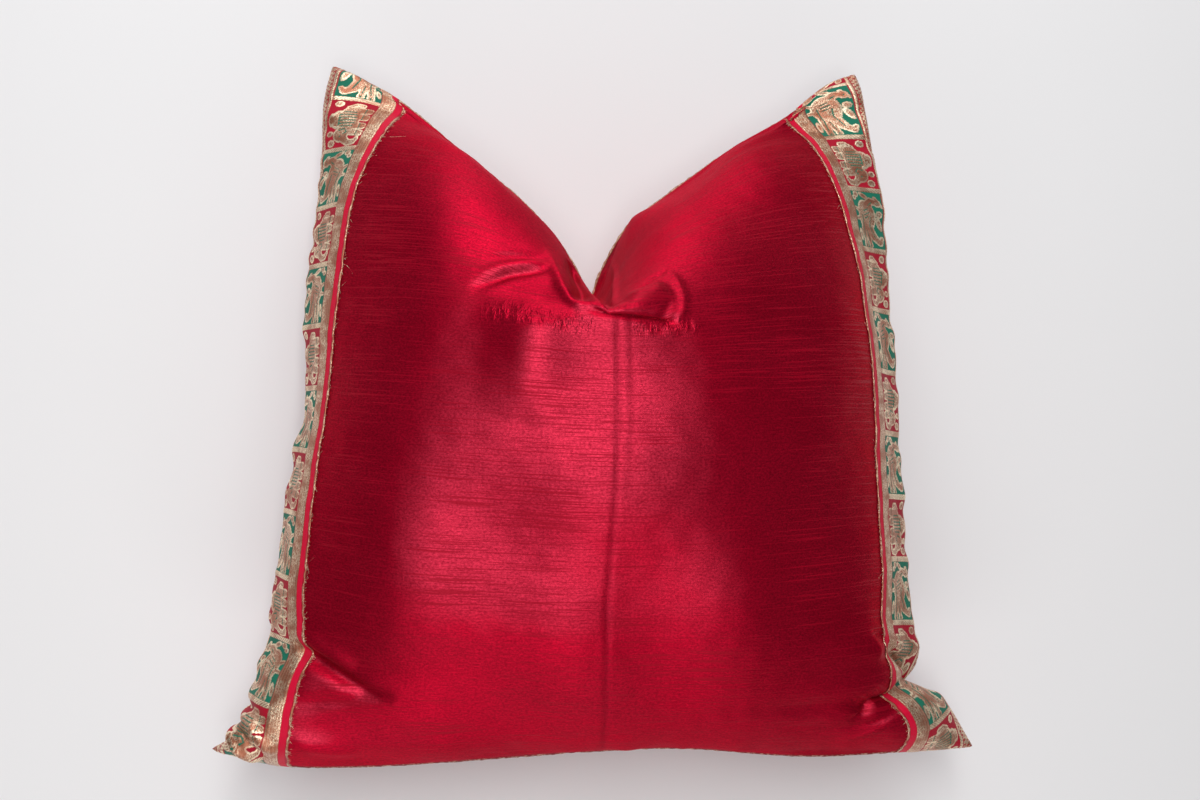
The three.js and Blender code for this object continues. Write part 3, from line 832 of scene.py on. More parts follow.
def cover_piece(sizes, material):
    """The filled cover as one closed mesh: the face's fine grid, and the back's coarser one, which uses the
    face's points along the seam."""
    side = sizes.panel_side
    face, back = filled_cloth(side, sizes.crease_depth)
    count = FACE_CELLS + 1
    index = np.arange(count * count).reshape(count, count)
    coarse = index[::BACK_STEP, ::BACK_STEP].copy()
    inner = back[::BACK_STEP, ::BACK_STEP][1:-1, 1:-1]
    coarse[1:-1, 1:-1] = count * count + np.arange(inner.shape[0] * inner.shape[1]).reshape(inner.shape[:2])
    points = np.vstack([face.reshape(-1, 3), inner.reshape(-1, 3)])
    faces = grid_quads(index).tolist() + back_faces(index, coarse)
    x, y = np.meshgrid(np.linspace(0, side, count), np.linspace(0, side, count))
    # The pressed mask marks the pressed creases, where the silk's colour is darkened as painted shade
    masks = {"pucker": sum(pucker_row(row, x, y, side) for row in PUCKER_ROWS), "pressed": 0 * x}
    for crease in CREASES:
        if crease["name"].startswith("pressed"):
            masks["pressed"] += np.abs(crease_moves(crease, x, y, side)[0]) / abs(crease["height"] * MM)
    behind = np.zeros(inner.shape[0] * inner.shape[1])
    layers = {layer: np.r_[mask.ravel(), behind] for layer, mask in masks.items()}
    made = fill_mesh("silk_cover", points, faces, material, layers)
    flat = np.linspace(0, side, count)
    places = np.stack(np.meshgrid(flat, flat), -1)
    behind = places[::BACK_STEP, ::BACK_STEP][1:-1, 1:-1]
    flat_map(made, np.vstack([places.reshape(-1, 2), behind.reshape(-1, 2)]))
    return made


def face_of(cover):
    """The face's grid of points, read back from the finished cover."""
    flat = np.empty(3 * len(cover.data.vertices), np.float32)
    cover.data.vertices.foreach_get("co", flat)
    count = FACE_CELLS + 1
    return flat.reshape(-1, 3)[: count * count].reshape(count, count, 3).astype(float)


def spline_weights(places, count):
    """Matrix that reads a line of count values at any places, in cells: the weights of a cubic through the
    four nearest values, with the end values repeated."""
    base = np.clip(np.floor(places).astype(int), 0, count - 2)
    t = places - base
    weights = np.stack([
        -0.5 * t + t**2 - 0.5 * t**3, 1 - 2.5 * t**2 + 1.5 * t**3, 0.5 * t + 2 * t**2 - 1.5 * t**3,
        -0.5 * t**2 + 0.5 * t**3,
    ], -1)
    matrix = np.zeros((len(places), count))
    for k in range(4):
        np.add.at(matrix, (np.arange(len(places)), np.clip(base + k - 1, 0, count - 1)), weights[:, k])
    return matrix


def read_face(face, across, up):
    """Points and unit normals of the face at every pair of places across and up, in metres of cloth."""
    cell = 1 / (face.shape[0] - 1)
    rows = spline_weights(up / cell, face.shape[0])
    columns = spline_weights(across / cell, face.shape[1])
    return (
        np.einsum("ri,ijk,cj->rck", rows, face, columns, optimize=True),
        unit(np.einsum("ri,ijk,cj->rck", rows, unit(normals(face)), columns, optimize=True)),
    )


def drawn(strokes, a, b):
    """Depth inside a figure in mm, above 0 within it: the greatest depth in any of its strokes. A stroke's
    depth is its half width at the nearest place less the distance to it, and an oval's is 1 less the
    distance in its own measure, times its lesser half width."""
    depth = np.full(a.shape, -9.0)
    for kind, p, q, r, s, t, u in strokes:
        if kind == "stroke":
            run = (r - p) ** 2 + (s - q) ** 2
            share = np.clip(((a - p) * (r - p) + (b - q) * (s - q)) / run, 0, 1)
            away = np.hypot(a - p - share * (r - p), b - q - share * (s - q))
            depth = np.maximum(depth, t + share * (u - t) - away)
        else:
            turn = math.radians(t)
            along = (a - p) * math.cos(turn) + (b - q) * math.sin(turn)
            aside = (b - q) * math.cos(turn) - (a - p) * math.sin(turn)
            depth = np.maximum(depth, (1 - np.hypot(along / r, aside / s)) * min(r, s))
    return depth


def trim_pattern(across, down):
    """What the trim shows at each place, in mm from the seam and from the start of its repeat.

    Values above 0 lie within: metal, pale and stripe are depths in mm within the metal threads, the pale
    ones among them, and the crimson stripe. green is 1 in a green panel and 0 in a red one. height is the
    relief as a share of the threads' height.
    """
    across, down = np.broadcast_arrays(across, down)
    repeat = GREEN_LENGTH + RED_LENGTH
    place = np.mod(down, repeat)
    green = (place < GREEN_LENGTH).astype(float)
    middle = np.where(green > 0, GREEN_LENGTH / 2, GREEN_LENGTH + RED_LENGTH / 2)
    a = (place - middle) / np.where(green > 0, 1, ELEPHANT_STRETCH) + 0.22 * np.sin(2.9 * across + 0.7 * down)
    b = FIGURES_END - across + 0.22 * np.sin(2.7 * down - 0.9 * across)
    edge = np.minimum(np.minimum(place, np.abs(place - GREEN_LENGTH)), repeat - place)
    figure = FIGURE_FULLNESS + np.where(green > 0, drawn(PEACOCK, a, b), drawn(ELEPHANT, a, b))
    lines = np.where(green > 0, drawn(PEACOCK_LINES, a, b), drawn(ELEPHANT_LINES, a, b))
    rim = 0.62 - np.abs(figure - 0.55)
    field = np.minimum(np.minimum(across - ROPE_END, FIGURES_END - across), edge - BAR_HALF)
    third = (lines > -0.4) & (figure > 0.6) & (edge > BAR_HALF) & (across > ROPE_END)
    inner = np.minimum(np.minimum(figure, -lines - 0.05), field - 0.6)
    bar = np.minimum(BAR_HALF - edge, np.minimum(across - ROPE_END, FIGURES_END - across))
    twist = 0.5 + 0.5 * np.sin(2 * math.pi * (across + down) / 2.6)
    rope = np.minimum(across - GUARD_END - 0.5, ROPE_END - 0.5 - across)
    spots = 0.5 + 0.5 * np.cos(2 * math.pi * down / 4.2) * np.cos(2 * math.pi * (across - 4.2) / 5.4)
    guard = np.minimum(np.minimum(across - 0.6, GUARD_END - across - 0.4), 1.4 * (0.74 - spots))
    ribbed = np.minimum(across - FIGURES_END - 0.35, RIBBED_END - across - 0.5)
    lines_along = np.sin(2 * math.pi * across / 2.4 + 0.6 * np.sin(down / 9))
    ribs = 0.5 + 0.5 * np.sin(2 * math.pi * down / 1.7)
    loose = np.sin(down / 5.3) + np.sin(down / 2.1 + 2 * np.sin(down / 7.7))
    selvedge = np.where(across > STRIPE_END, 0.25 * (loose + 1.6 * (across - STRIPE_END) - 1.2), -1)
    metal = np.maximum.reduce([inner, bar, rope, guard, ribbed, selvedge])
    green = np.where(across > ROPE_END, np.where(across > FIGURES_END, 0, np.where(third, 1, green)), 0)
    pale = np.maximum.reduce([
        np.minimum(rim, inner), np.minimum(bar, twist - 0.32), np.minimum(rope, twist - 0.3),
        np.minimum(guard, 0.5 - np.abs(spots - 0.35) * 3), np.minimum(ribbed, 0.2 * (lines_along - 0.8)),
    ])
    teeth = 0.45 * np.abs(np.mod(down / 2.3, 1) - 0.5) * 2
    stripe = np.minimum(across - RIBBED_END + teeth, STRIPE_END - across)
    raised = np.clip(metal / 0.8, 0, 1)
    height = raised * (0.55 + 0.45 * np.clip(pale / 0.5, 0, 1))
    height = np.where((bar > 0) | (rope > 0), raised * (0.6 + 0.7 * twist), height)
    height = np.where(ribbed > 0, raised * (0.45 + 0.25 * ribs), height)
    return {"metal": metal, "pale": pale, "stripe": stripe, "green": green}, height


def trim_faces(count):
    """Faces of a closed band: its top as a fine grid, its underside with only every TRIM_UNDER_STEP-th
    column, long edges of quads, and ends whose faces take in the top's points."""
    rows, columns = count
    top = np.arange(rows * columns).reshape(rows, columns)
    under_columns = (columns - 1) // TRIM_UNDER_STEP + 1
    under = top.size + np.arange(rows * under_columns).reshape(rows, under_columns)
    quads = [grid_quads(top), grid_quads(under)[:, ::-1]]
    for above, below, order in ((top[:, 0], under[:, 0], 1), (top[:, -1], under[:, -1], -1)):
        wall = np.stack([above[:-1], above[1:], below[1:], below[:-1]], -1)
        quads.append(wall[:, ::order])
    faces = np.vstack(quads).tolist()
    for row, order in ((0, -1), (rows - 1, 1)):
        for k in range(under_columns - 1):
            first, last = k * TRIM_UNDER_STEP, (k + 1) * TRIM_UNDER_STEP
            ring = top[row, first : last + 1].tolist() + [int(under[row, k + 1]), int(under[row, k])]
            faces.append(ring[::order][::-1] if order > 0 else ring)
    return faces


def trim_piece(name, face, sizes, material):
    """One woven trim as a closed band on the face, from its side seam inwards.

    Its top is the face raised along its normal by the trim's height and the threads' relief; its underside
    lies just over the silk.
    """
    side, width = sizes.panel_side, sizes.trim_width
    left = name == "left"
    across = np.linspace(0, width, TRIM_CELLS + 1)
    up = np.linspace(0, side, TRIM_ROWS + 1)
    marks = across if left else across[::-1]
    share = TRIM_SHARE * marks / side
    points, out = read_face(face, share if left else 1 - share, up / side)
    down = TRIM_START[name] + (side - up[:, None]) / MM
    layers, height = trim_pattern(marks[None, :] / MM, down)
    lift = sizes.trim_height + sizes.relief * height
    top = points + out * lift[..., None]
    under = (points + out * 0.25 * MM)[:, ::TRIM_UNDER_STEP]
    both = np.vstack([top.reshape(-1, 3), under.reshape(-1, 3)])
    values = {
        layer: np.r_[value.ravel(), value[:, ::TRIM_UNDER_STEP].ravel()] for layer, value in layers.items()
    }
    made = fill_mesh("trim_" + name + "_woven", both, trim_faces(points.shape[:2]), material, values)
    flat = np.stack(np.broadcast_arrays(marks[None, :], (side - up)[:, None]), -1)
    flat_map(made, np.vstack([flat.reshape(-1, 2), flat[:, ::TRIM_UNDER_STEP].reshape(-1, 2)]))
    return made


def tube(path, radius, corners, closed):
    """A tube's points and faces: at each point of the path a ring of corners, at the radius, in the plane
    across the path's direction. Closed tubes join their ends; others are left open at both ends."""
    count = len(path)
    if closed:
        ahead = unit(np.roll(path, -1, 0) - np.roll(path, 1, 0))
    else:
        ahead = unit(np.gradient(path, axis=0))
    aside = unit(np.cross(ahead, [0.13, 0.21, 0.97]))
    over = np.cross(ahead, aside)
    turn = np.linspace(0, 2 * math.pi, corners, endpoint=False)
    ring = np.cos(turn)[None, :, None] * aside[:, None] + np.sin(turn)[None, :, None] * over[:, None]
    points = path[:, None] + np.broadcast_to(radius, count)[:, None, None] * ring
    index = np.arange(count * corners).reshape(count, corners)
    index = np.hstack([index, index[:, :1]])
    if closed:
        index = np.vstack([index, index[:1]])
    return points.reshape(-1, 3), grid_quads(index)


def seam_piece(face, sizes, material):
    """The turned edge of the seam all round, as a tube along the edge of the face."""
    ring = np.vstack([face[0, :-1], face[:-1, -1], face[-1, :0:-1], face[:0:-1, 0]])
    count = FACE_CELLS
    place = np.arange(4 * count)
    wobble = 1 + 0.25 * waves(place * sizes.panel_side / count, 0 * place, 5, 14, seed=51)
    points, quads = tube(ring, sizes.seam_radius * np.clip(wobble, 0.55, 1.6), 8, closed=True)
    top = ((place >= 2 * count) & (place < 3 * count)).astype(float)
    return fill_mesh("seam_edge", points, quads.tolist(), material, {"tan": np.repeat(top, 8)})


def hair_points(starts, ways, lengths, bends, radius, rings=5, corners=3):
    """Many fine threads in one mesh. Each runs from its start along its way for its length and bends aside
    by a parabola, and its radius narrows to a third at its tip."""
    share = np.linspace(0, 1, rings)[None, :, None]
    path = starts[:, None] + share * (ways * lengths[:, None])[:, None] + share**2 * bends[:, None]
    ahead = unit(np.gradient(path, axis=1))
    aside = unit(np.cross(ahead, np.array([0.31, 0.17, 0.93])))
    over = np.cross(ahead, aside)
    turn = np.linspace(0, 2 * math.pi, corners, endpoint=False)[None, None, :, None]
    ring = np.cos(turn) * aside[:, :, None] + np.sin(turn) * over[:, :, None]
    points = path[:, :, None] + radius * (1 - 0.66 * share)[..., None] * ring
    index = np.arange(len(starts) * rings * corners).reshape(len(starts), rings, corners)
    index = np.concatenate([index, index[:, :, :1]], axis=2)
    walls = np.stack([index[:, :-1, :-1], index[:, :-1, 1:], index[:, 1:, 1:], index[:, 1:, :-1]], -1)
    caps = [index[:, 0, 2::-1], index[:, -1, :3]]
    return points.reshape(-1, 3), walls.reshape(-1, 4).tolist() + np.vstack(caps).tolist()


def loose_threads(face, sizes):
    """The few long threads: each leaves the trim's inner edge over the silk, or the side seam outwards,
    and bends up or down by its own parabola."""
    starts, ways, bends = [], [], []
    for name, up, length, bend, side in LOOSE_THREADS:
        inner = TRIM_SHARE * sizes.trim_width / sizes.panel_side if side > 0 else 0.002
        places = np.array([inner, inner + 0.01]) if name == "left" else np.array([1 - inner, 0.99 - inner])
        points, out = read_face(face, places, np.array([up / 100]))
        way = unit(points[0, 1] - points[0, 0] if side > 0 else points[0, 0] - points[0, 1])
        if side < 0:
            way = unit(way * [1, 1, 0.2])
        starts.append(points[0, 0] + out[0, 0] * sizes.trim_height)
        ways.append(unit(way + 0.12 * out[0, 0]) * length * MM)
        bends.append(unit(np.cross(out[0, 0], way)) * bend * MM)
    ways = np.array(ways)
    lengths = np.linalg.norm(ways, axis=1)
    radius = 0.8 * sizes.thread_radius
    return hair_points(np.array(starts), unit(ways), lengths, np.array(bends), radius, rings=14)


def set_input(node, name, value):
    node.inputs[name].default_value = value


class Nodes:
    """Short ways to add and join the nodes of one tree."""

    def __init__(self, tree):
        self.tree = tree

    def add(self, kind, inputs=None, **settings):
        """A node of a kind, with its settings, and its inputs as values or as sockets to link."""
        node = self.tree.nodes.new("ShaderNode" + kind)
        for key, value in settings.items():
            setattr(node, key, value)
        for key, value in (inputs or {}).items():
            if isinstance(value, bpy.types.NodeSocket):
                self.tree.links.new(value, node.inputs[key])
            else:
                node.inputs[key].default_value = value
        return node

    def math(self, operation, *values, clamp=False):
        """The result of a math node on values or sockets."""
        inputs = dict(enumerate(values))
        return self.add("Math", inputs, operation=operation, use_clamp=clamp).outputs[0]

    def between(self, value, low, high, start=0.0, end=1.0):
        """A value's range from low to high carried over to start to end, with soft ends."""
        inputs = {"Value": value, "From Min": low, "From Max": high, "To Min": start, "To Max": end}
        return self.add("MapRange", inputs, interpolation_type="SMOOTHSTEP").outputs[0]

    def mix(self, share, first, second, blend="MIX"):
        """Two colours mixed by a share."""
        inputs = {"Factor": share, 6: first, 7: second}
        return self.add("Mix", inputs, data_type="RGBA", blend_type=blend).outputs[2]

    def noise(self, vector, scale, detail=2.0, rough=0.5):
        """The value of a noise texture."""
        inputs = {"Vector": vector, "Scale": scale, "Detail": detail, "Roughness": rough}
        return self.add("TexNoise", inputs).outputs[0]

    def stretched(self, vector, scale, offset=(0, 0, 0)):
        """A vector scaled on each axis, so that a noise on it runs in streaks."""
        inputs = {"Vector": vector, "Scale": scale, "Location": offset}
        return self.add("Mapping", inputs).outputs[0]


def new_group(name, inputs, outputs):
    """An empty shader node group with float or vector inputs and outputs, and its two end nodes."""
    tree = bpy.data.node_groups.new(name, "ShaderNodeTree")
    for label, kind, value in inputs:
        socket = tree.interface.new_socket(label, in_out="INPUT", socket_type="NodeSocket" + kind)
        if value is not None:
            socket.default_value = value
    for label, kind in outputs:
        tree.interface.new_socket(label, in_out="OUTPUT", socket_type="NodeSocket" + kind)
    return tree, tree.nodes.new("NodeGroupInput"), tree.nodes.new("NodeGroupOutput")


def slub_group():
    """Slubs and fine threads of a raw silk. Its threads run across the cloth.

    Fine is a noise stretched along the threads. Slub is a coarser one, kept where it is high and where a
    slow patchy noise lets it through, so that slubs come in short dark dashes of uneven length.
    """
    name = "Slub weave"
    if name in bpy.data.node_groups:
        return bpy.data.node_groups[name]
    tree, start, end = new_group(
        name,
        [("Vector", "Vector", None), ("Thread Rows", "Float", 1500.0), ("Slub Rows", "Float", 760.0),
         ("Slub Share", "Float", 0.5)],
        [("Fine", "Float"), ("Slub", "Float"), ("Patch", "Float")],
    )
    n = Nodes(tree)
    parts = n.add("SeparateXYZ", {0: start.outputs["Vector"]})
    across, up = parts.outputs[0], parts.outputs[1]
    thread = n.add("CombineXYZ", {0: n.math("MULTIPLY", across, 80.0),
                                  1: n.math("MULTIPLY", up, start.outputs["Thread Rows"])}).outputs[0]
    slub = n.add("CombineXYZ", {0: n.math("MULTIPLY", across, 13.0),
                                1: n.math("MULTIPLY", up, start.outputs["Slub Rows"])}).outputs[0]
    fine = n.noise(thread, 1.0, 2.0, 0.6)
    dashes = n.noise(slub, 1.0, 1.0, 0.5)
    patchy = n.noise(n.stretched(start.outputs["Vector"], (5.5, 12.0, 1.0)), 1.0, 2.0, 0.5)
    level = n.math("SUBTRACT", 0.82, n.math("MULTIPLY", start.outputs["Slub Share"], patchy))
    kept = n.between(n.math("SUBTRACT", dashes, level), 0.0, 0.1)
    tree.links.new(fine, end.inputs["Fine"])
    tree.links.new(kept, end.inputs["Slub"])
    tree.links.new(patchy, end.inputs["Patch"])
    return tree


def weave_group():
    """Crossed threads at a pitch: the product of two sine waves, one each way, carried from -1 to 1 over to
    0 to 1."""
    name = "Crossed threads"
    if name in bpy.data.node_groups:
        return bpy.data.node_groups[name]
    tree, start, end = new_group(
        name, [("Vector", "Vector", None), ("Threads", "Float", 2000.0)], [("Height", "Float")]
    )
    n = Nodes(tree)
    parts = n.add("SeparateXYZ", {0: start.outputs["Vector"]})
    turns = n.math("MULTIPLY", start.outputs["Threads"], 2 * math.pi)
    across = n.math("SINE", n.math("MULTIPLY", parts.outputs[0], turns))
    up = n.math("SINE", n.math("MULTIPLY", parts.outputs[1], turns))
    ridges = n.math("MULTIPLY", across, up)
    tree.links.new(n.math("MULTIPLY_ADD", ridges, 0.5, 0.5), end.inputs["Height"])
    return tree


def use_group(n, tree, inputs):
    """A group placed in a material, with its own values."""
    node = n.add("Group", node_tree=tree)
    for key, value in inputs.items():
        if isinstance(value, bpy.types.NodeSocket):
            n.tree.links.new(value, node.inputs[key])
        else:
            node.inputs[key].default_value = value
    return node


def new_material(name):
    """A material with an empty tree but for its Principled shader and its output."""
    material = bpy.data.materials.new(name)
    material.use_nodes = True
    tree = material.node_tree
    tree.nodes.clear()
    shader = tree.nodes.new("ShaderNodeBsdfPrincipled")
    out = tree.nodes.new("ShaderNodeOutputMaterial")
    tree.links.new(shader.outputs[0], out.inputs[0])
    return material, Nodes(tree), shader


def opaque(colour):
    return (*colour, 1.0)


def silk_material(colours):
    """Shot silk: crimson and maroon threads mixed by the fine threads and slubs, with a long narrow shine
    across the threads and a soft sheen. A paler, pinker colour is painted where the silk faces the eye as a
    painted sheen, and painted shade darkens it along the pressed creases."""
    material, n, shader = new_material("Shot silk")
    cloth = n.add("UVMap", uv_map="cloth").outputs[0]
    slubs = use_group(n, slub_group(), {"Vector": cloth})
    crossed = use_group(n, weave_group(), {"Vector": cloth, "Threads": 900.0})
    broad = n.noise(n.stretched(cloth, (7.0, 16.0, 1.0)), 1.0, 3.0, 0.55)
    share = n.math("ADD", n.between(slubs.outputs["Fine"], 0.3, 0.7, 0.0, 0.25),
                   n.between(broad, 0.3, 0.7, 0.0, 0.2))
    # Painted sheen: by the Facing output, the colour turns paler and pinker where the silk faces the eye
    turned = n.add("LayerWeight", {"Blend": 0.5}).outputs["Facing"]
    painted_sheen = n.mix(n.between(turned, 0.0, 0.11), opaque(colours.silk_painted_sheen), opaque(colours.silk_bright))
    mottled = n.noise(n.stretched(cloth, (420.0, 560.0, 1.0)), 1.0, 3.0, 0.75)
    grain = n.between(mottled, 0.36, 0.64, 0.0, 0.46)
    base = n.mix(n.math("ADD", share, grain), painted_sheen, opaque(colours.silk_deep))
    slubbed = n.mix(n.math("MULTIPLY", slubs.outputs["Slub"], 0.8), base, opaque(colours.silk_slub))
    shine = n.math("SUBTRACT", n.between(broad, 0.38, 0.62, 0.84, 0.72),
                   n.math("MULTIPLY", slubs.outputs["Slub"], 0.45))
    n.tree.links.new(shine, shader.inputs["Metallic"])
    # Painted shade: the colour darkens towards the deep thread along the pressed creases
    pressed = n.add("Attribute", attribute_name="pressed").outputs["Fac"]
    creased = n.mix(n.math("MULTIPLY", pressed, 0.5), slubbed, opaque(colours.silk_deep))
    n.tree.links.new(creased, shader.inputs["Base Color"])
    rough = n.between(slubs.outputs["Fine"], 0.2, 0.8, 0.5, 0.6)
    n.tree.links.new(rough, shader.inputs["Roughness"])
    puckers = n.between(n.noise(n.stretched(cloth, (260.0, 120.0, 1.0)), 1.0, 2.0, 0.6), 0.42, 0.66)
    row = n.add("Attribute", attribute_name="pucker").outputs["Fac"]
    height = n.math("ADD", n.math("MULTIPLY", slubs.outputs["Fine"], 0.6),
                    n.math("ADD", n.math("MULTIPLY", slubs.outputs["Slub"], 0.5),
                           n.math("MULTIPLY", crossed.outputs["Height"], 0.2)))
    height = n.math("ADD", height, n.math("MULTIPLY", n.math("MULTIPLY", puckers, row), 6.0))
    height = n.math("MULTIPLY_ADD", mottled, 1.3, height)
    bump = n.add("Bump", {"Height": height, "Strength": 0.35, "Distance": 0.00035})
    n.tree.links.new(bump.outputs[0], shader.inputs["Normal"])
    tangent = n.add("Tangent", direction_type="UV_MAP", uv_map="cloth")
    n.tree.links.new(tangent.outputs[0], shader.inputs["Tangent"])
    set_input(shader, "Anisotropic", 0.7)
    set_input(shader, "Anisotropic Rotation", 0.25)
    set_input(shader, "Specular IOR Level", 0.35)
    set_input(shader, "Specular Tint", (1.0, 0.32, 0.4, 1.0))
    set_input(shader, "Sheen Weight", 0.05)
    set_input(shader, "Sheen Roughness", 0.4)
    set_input(shader, "Sheen Tint", (1.0, 0.25, 0.35, 1.0))
    return material


def brocade_material(colours):
    """The woven trim: green or red ground, copper and pale gold metal threads over it, and a plain crimson
    stripe, told apart by the depths that the trim's points carry. Pale gold is also painted over the metal
    as highlights, in random lit patches and speckled glints."""
    material, n, shader = new_material("Woven trim")
    cloth = n.add("UVMap", uv_map="cloth").outputs[0]
    value = {key: n.add("Attribute", attribute_name=key).outputs["Fac"]
             for key in ("metal", "pale", "stripe", "green")}
    crossed = use_group(n, weave_group(), {"Vector": cloth, "Threads": 1250.0})
    glint = n.noise(n.stretched(cloth, (1300.0, 480.0, 1.0)), 1.0, 2.0, 0.7)
    # Noise for the painted lit patches on the metal
    patch = n.noise(cloth, 60.0, 2.0, 0.6)
    worn = n.noise(cloth, 90.0, 3.0, 0.6)
    ground = n.mix(value["green"], opaque(colours.trim_red), opaque(colours.trim_green))
    metal = n.between(value["metal"], -0.2, 0.2)
    pale = n.between(value["pale"], -0.15, 0.2)
    stripe = n.between(value["stripe"], -0.15, 0.15)
    # The copper fill and pale outlines are the threads' own colours; the lit patches brighten the outlines and
    # add speckled glints of pale gold, as painted highlights
    lit = n.between(patch, 0.38, 0.58)
    painted_glints = n.math("MULTIPLY", n.between(glint, 0.44, 0.6), n.math("MULTIPLY_ADD", lit, 0.85, 0.04))
    pale_thread_and_glints = n.math("ADD", n.math("MULTIPLY", pale, n.math("MULTIPLY_ADD", lit, 0.5, 0.42)), painted_glints, clamp=True)
    thread = n.mix(pale_thread_and_glints, opaque(colours.zari_copper), opaque(colours.zari_pale))
    kept = n.math("MULTIPLY", metal, n.between(worn, 0.22, 0.42, 0.55, 1.0))
    plain = n.mix(kept, ground, thread)
    striped = n.mix(stripe, plain, opaque(colours.stripe_crimson))
    n.tree.links.new(striped, shader.inputs["Base Color"])
    bare = n.math("SUBTRACT", 1.0, stripe)
    shine = n.math("MULTIPLY", n.math("MULTIPLY", kept, bare), 0.9)
    n.tree.links.new(shine, shader.inputs["Metallic"])
    rough = n.math("SUBTRACT", 0.55, n.math("MULTIPLY", n.math("MULTIPLY", kept, glint), 0.45))
    n.tree.links.new(rough, shader.inputs["Roughness"])
    height = n.math("ADD", n.math("MULTIPLY", crossed.outputs["Height"], 0.5), glint)
    bump = n.add("Bump", {"Height": height, "Strength": 0.6, "Distance": 0.0004})
    n.tree.links.new(bump.outputs[0], shader.inputs["Normal"])
    set_input(shader, "Specular IOR Level", 0.2)
    return material


def seam_material(colours):
    """The turned edge: tan along the top seam and deep red along the others, in fine uneven stitches."""
    material, n, shader = new_material("Turned edge")
    tan = n.add("Attribute", attribute_name="tan").outputs["Fac"]
    place = n.add("TexCoord").outputs["Object"]
    stitches = n.noise(place, 420.0, 2.0, 0.6)
    colour = n.mix(tan, opaque(colours.silk_deep), opaque(colours.seam_tan))
    bright = n.mix(n.between(stitches, 0.4, 0.7, 0.0, 0.4), colour, opaque(colours.zari_pale))
    n.tree.links.new(bright, shader.inputs["Base Color"])
    bump = n.add("Bump", {"Height": stitches, "Strength": 0.6, "Distance": 0.0004})
    n.tree.links.new(bump.outputs[0], shader.inputs["Normal"])
    set_input(shader, "Roughness", 0.6)
    return material


def fray_material(colours):
    """Loose metal and silk threads: pale gold with reddish stretches."""
    material, n, shader = new_material("Frayed thread")
    place = n.add("TexCoord").outputs["Object"]
    mixed = n.between(n.noise(place, 260.0, 1.0, 0.5), 0.4, 0.62)
    colour = n.mix(mixed, opaque(colours.zari_pale), opaque(colours.trim_red))
    n.tree.links.new(colour, shader.inputs["Base Color"])
    set_input(shader, "Roughness", 0.5)
    set_input(shader, "Metallic", 0.25)
    return material


def ground_material(colours):
    """A plain matt surface with a barely uneven tone."""
    material, n, shader = new_material("Pale ground")
    place = n.add("TexCoord").outputs["Object"]
    tone = n.between(n.noise(place, 3.0, 2.0, 0.5), 0.3, 0.7, 0.0, 0.05)
    colour = n.mix(tone, opaque(colours.ground), (0.7, 0.7, 0.72, 1.0))
    n.tree.links.new(colour, shader.inputs["Base Color"])
    set_input(shader, "Roughness", 0.85)
    return material


def found(name):
    """A piece made earlier, or an error that stops the script."""
    piece = bpy.data.objects.get(name)
    if piece is None:
        raise RuntimeError(f"{name} isn't there yet: its operator runs first")
    return piece


def fitted(piece, slot, *nodes):
    """Puts a piece on the pillow's body, in place of its plain solids; its slot is not used."""
    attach(piece, "root")
    if nodes:
        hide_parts(*nodes)
    return piece


class PILLOW_OT_cover(bpy.types.Operator):
    """Make the filled silk cover"""

    bl_idname = "pillow.cover"
    bl_label = "Silk cover"

    def execute(self, context):
        scene = context.scene
        piece = cover_piece(scene.pillow_sizes, silk_material(scene.pillow_colours))
        fitted(piece, "silk", "filled_cover")
        return {"FINISHED"}


class PILLOW_OT_trims(bpy.types.Operator):
    """Make the woven trims down both sides of the face"""

    bl_idname = "pillow.trims"
    bl_label = "Woven trims"

    def execute(self, context):
        sizes = context.scene.pillow_sizes
        material = brocade_material(context.scene.pillow_colours)
        face = face_of(found("silk_cover"))
        for name in ("left", "right"):
            piece = trim_piece(name, face, sizes, material)
            fitted(piece, "brocade", "trim_" + name)
        return {"FINISHED"}


class PILLOW_OT_seam(bpy.types.Operator):
    """Make the turned edge of the seam all round"""

    bl_idname = "pillow.seam"
    bl_label = "Seam edge"

    def execute(self, context):
        scene = context.scene
        face = face_of(found("silk_cover"))
        fitted(seam_piece(face, scene.pillow_sizes, seam_material(scene.pillow_colours)), "silk")
        return {"FINISHED"}


class PILLOW_OT_fray(bpy.types.Operator):
    """Make the frayed threads along the trims and the few loose ones"""

    bl_idname = "pillow.fray"
    bl_label = "Frayed threads"

    def execute(self, context):
        scene = context.scene
        sizes = scene.pillow_sizes
        face = face_of(found("silk_cover"))
        material = fray_material(scene.pillow_colours)
        rng = np.random.default_rng(61)
        count = 700
        for name in ("left", "right"):
            up = np.sort(rng.uniform(0.004, 0.996, count))
            edge = TRIM_SHARE * sizes.trim_width / sizes.panel_side
            inner = edge if name == "left" else 1 - edge
            points, out = read_face(face, np.array([inner, 0.5]), up)
            ahead, _ = read_face(face, np.array([inner + (0.004 if name == "left" else -0.004), 0.5]), up)
            way = unit(ahead[:, 0] - points[:, 0])
            along = unit(np.cross(out[:, 0], way))
            lengths = rng.gamma(2.2, 0.75, count) * MM
            lean = rng.normal(0, 0.55, count)
            ways = unit(way + lean[:, None] * along + rng.uniform(0.02, 0.3, count)[:, None] * out[:, 0])
            bends = (rng.normal(0, 0.4, count) * lengths)[:, None] * along
            starts = points[:, 0] + out[:, 0] * sizes.trim_height * 0.6 - way * 0.6 * MM
            made, faces = hair_points(starts, ways, lengths + 0.8 * MM, bends, sizes.thread_radius)
            fitted(fill_mesh("fray_" + name, made, faces, material), "brocade")
        made, faces = loose_threads(face, sizes)
        fitted(fill_mesh("loose_threads", made, faces, material), "brocade")
        return {"FINISHED"}


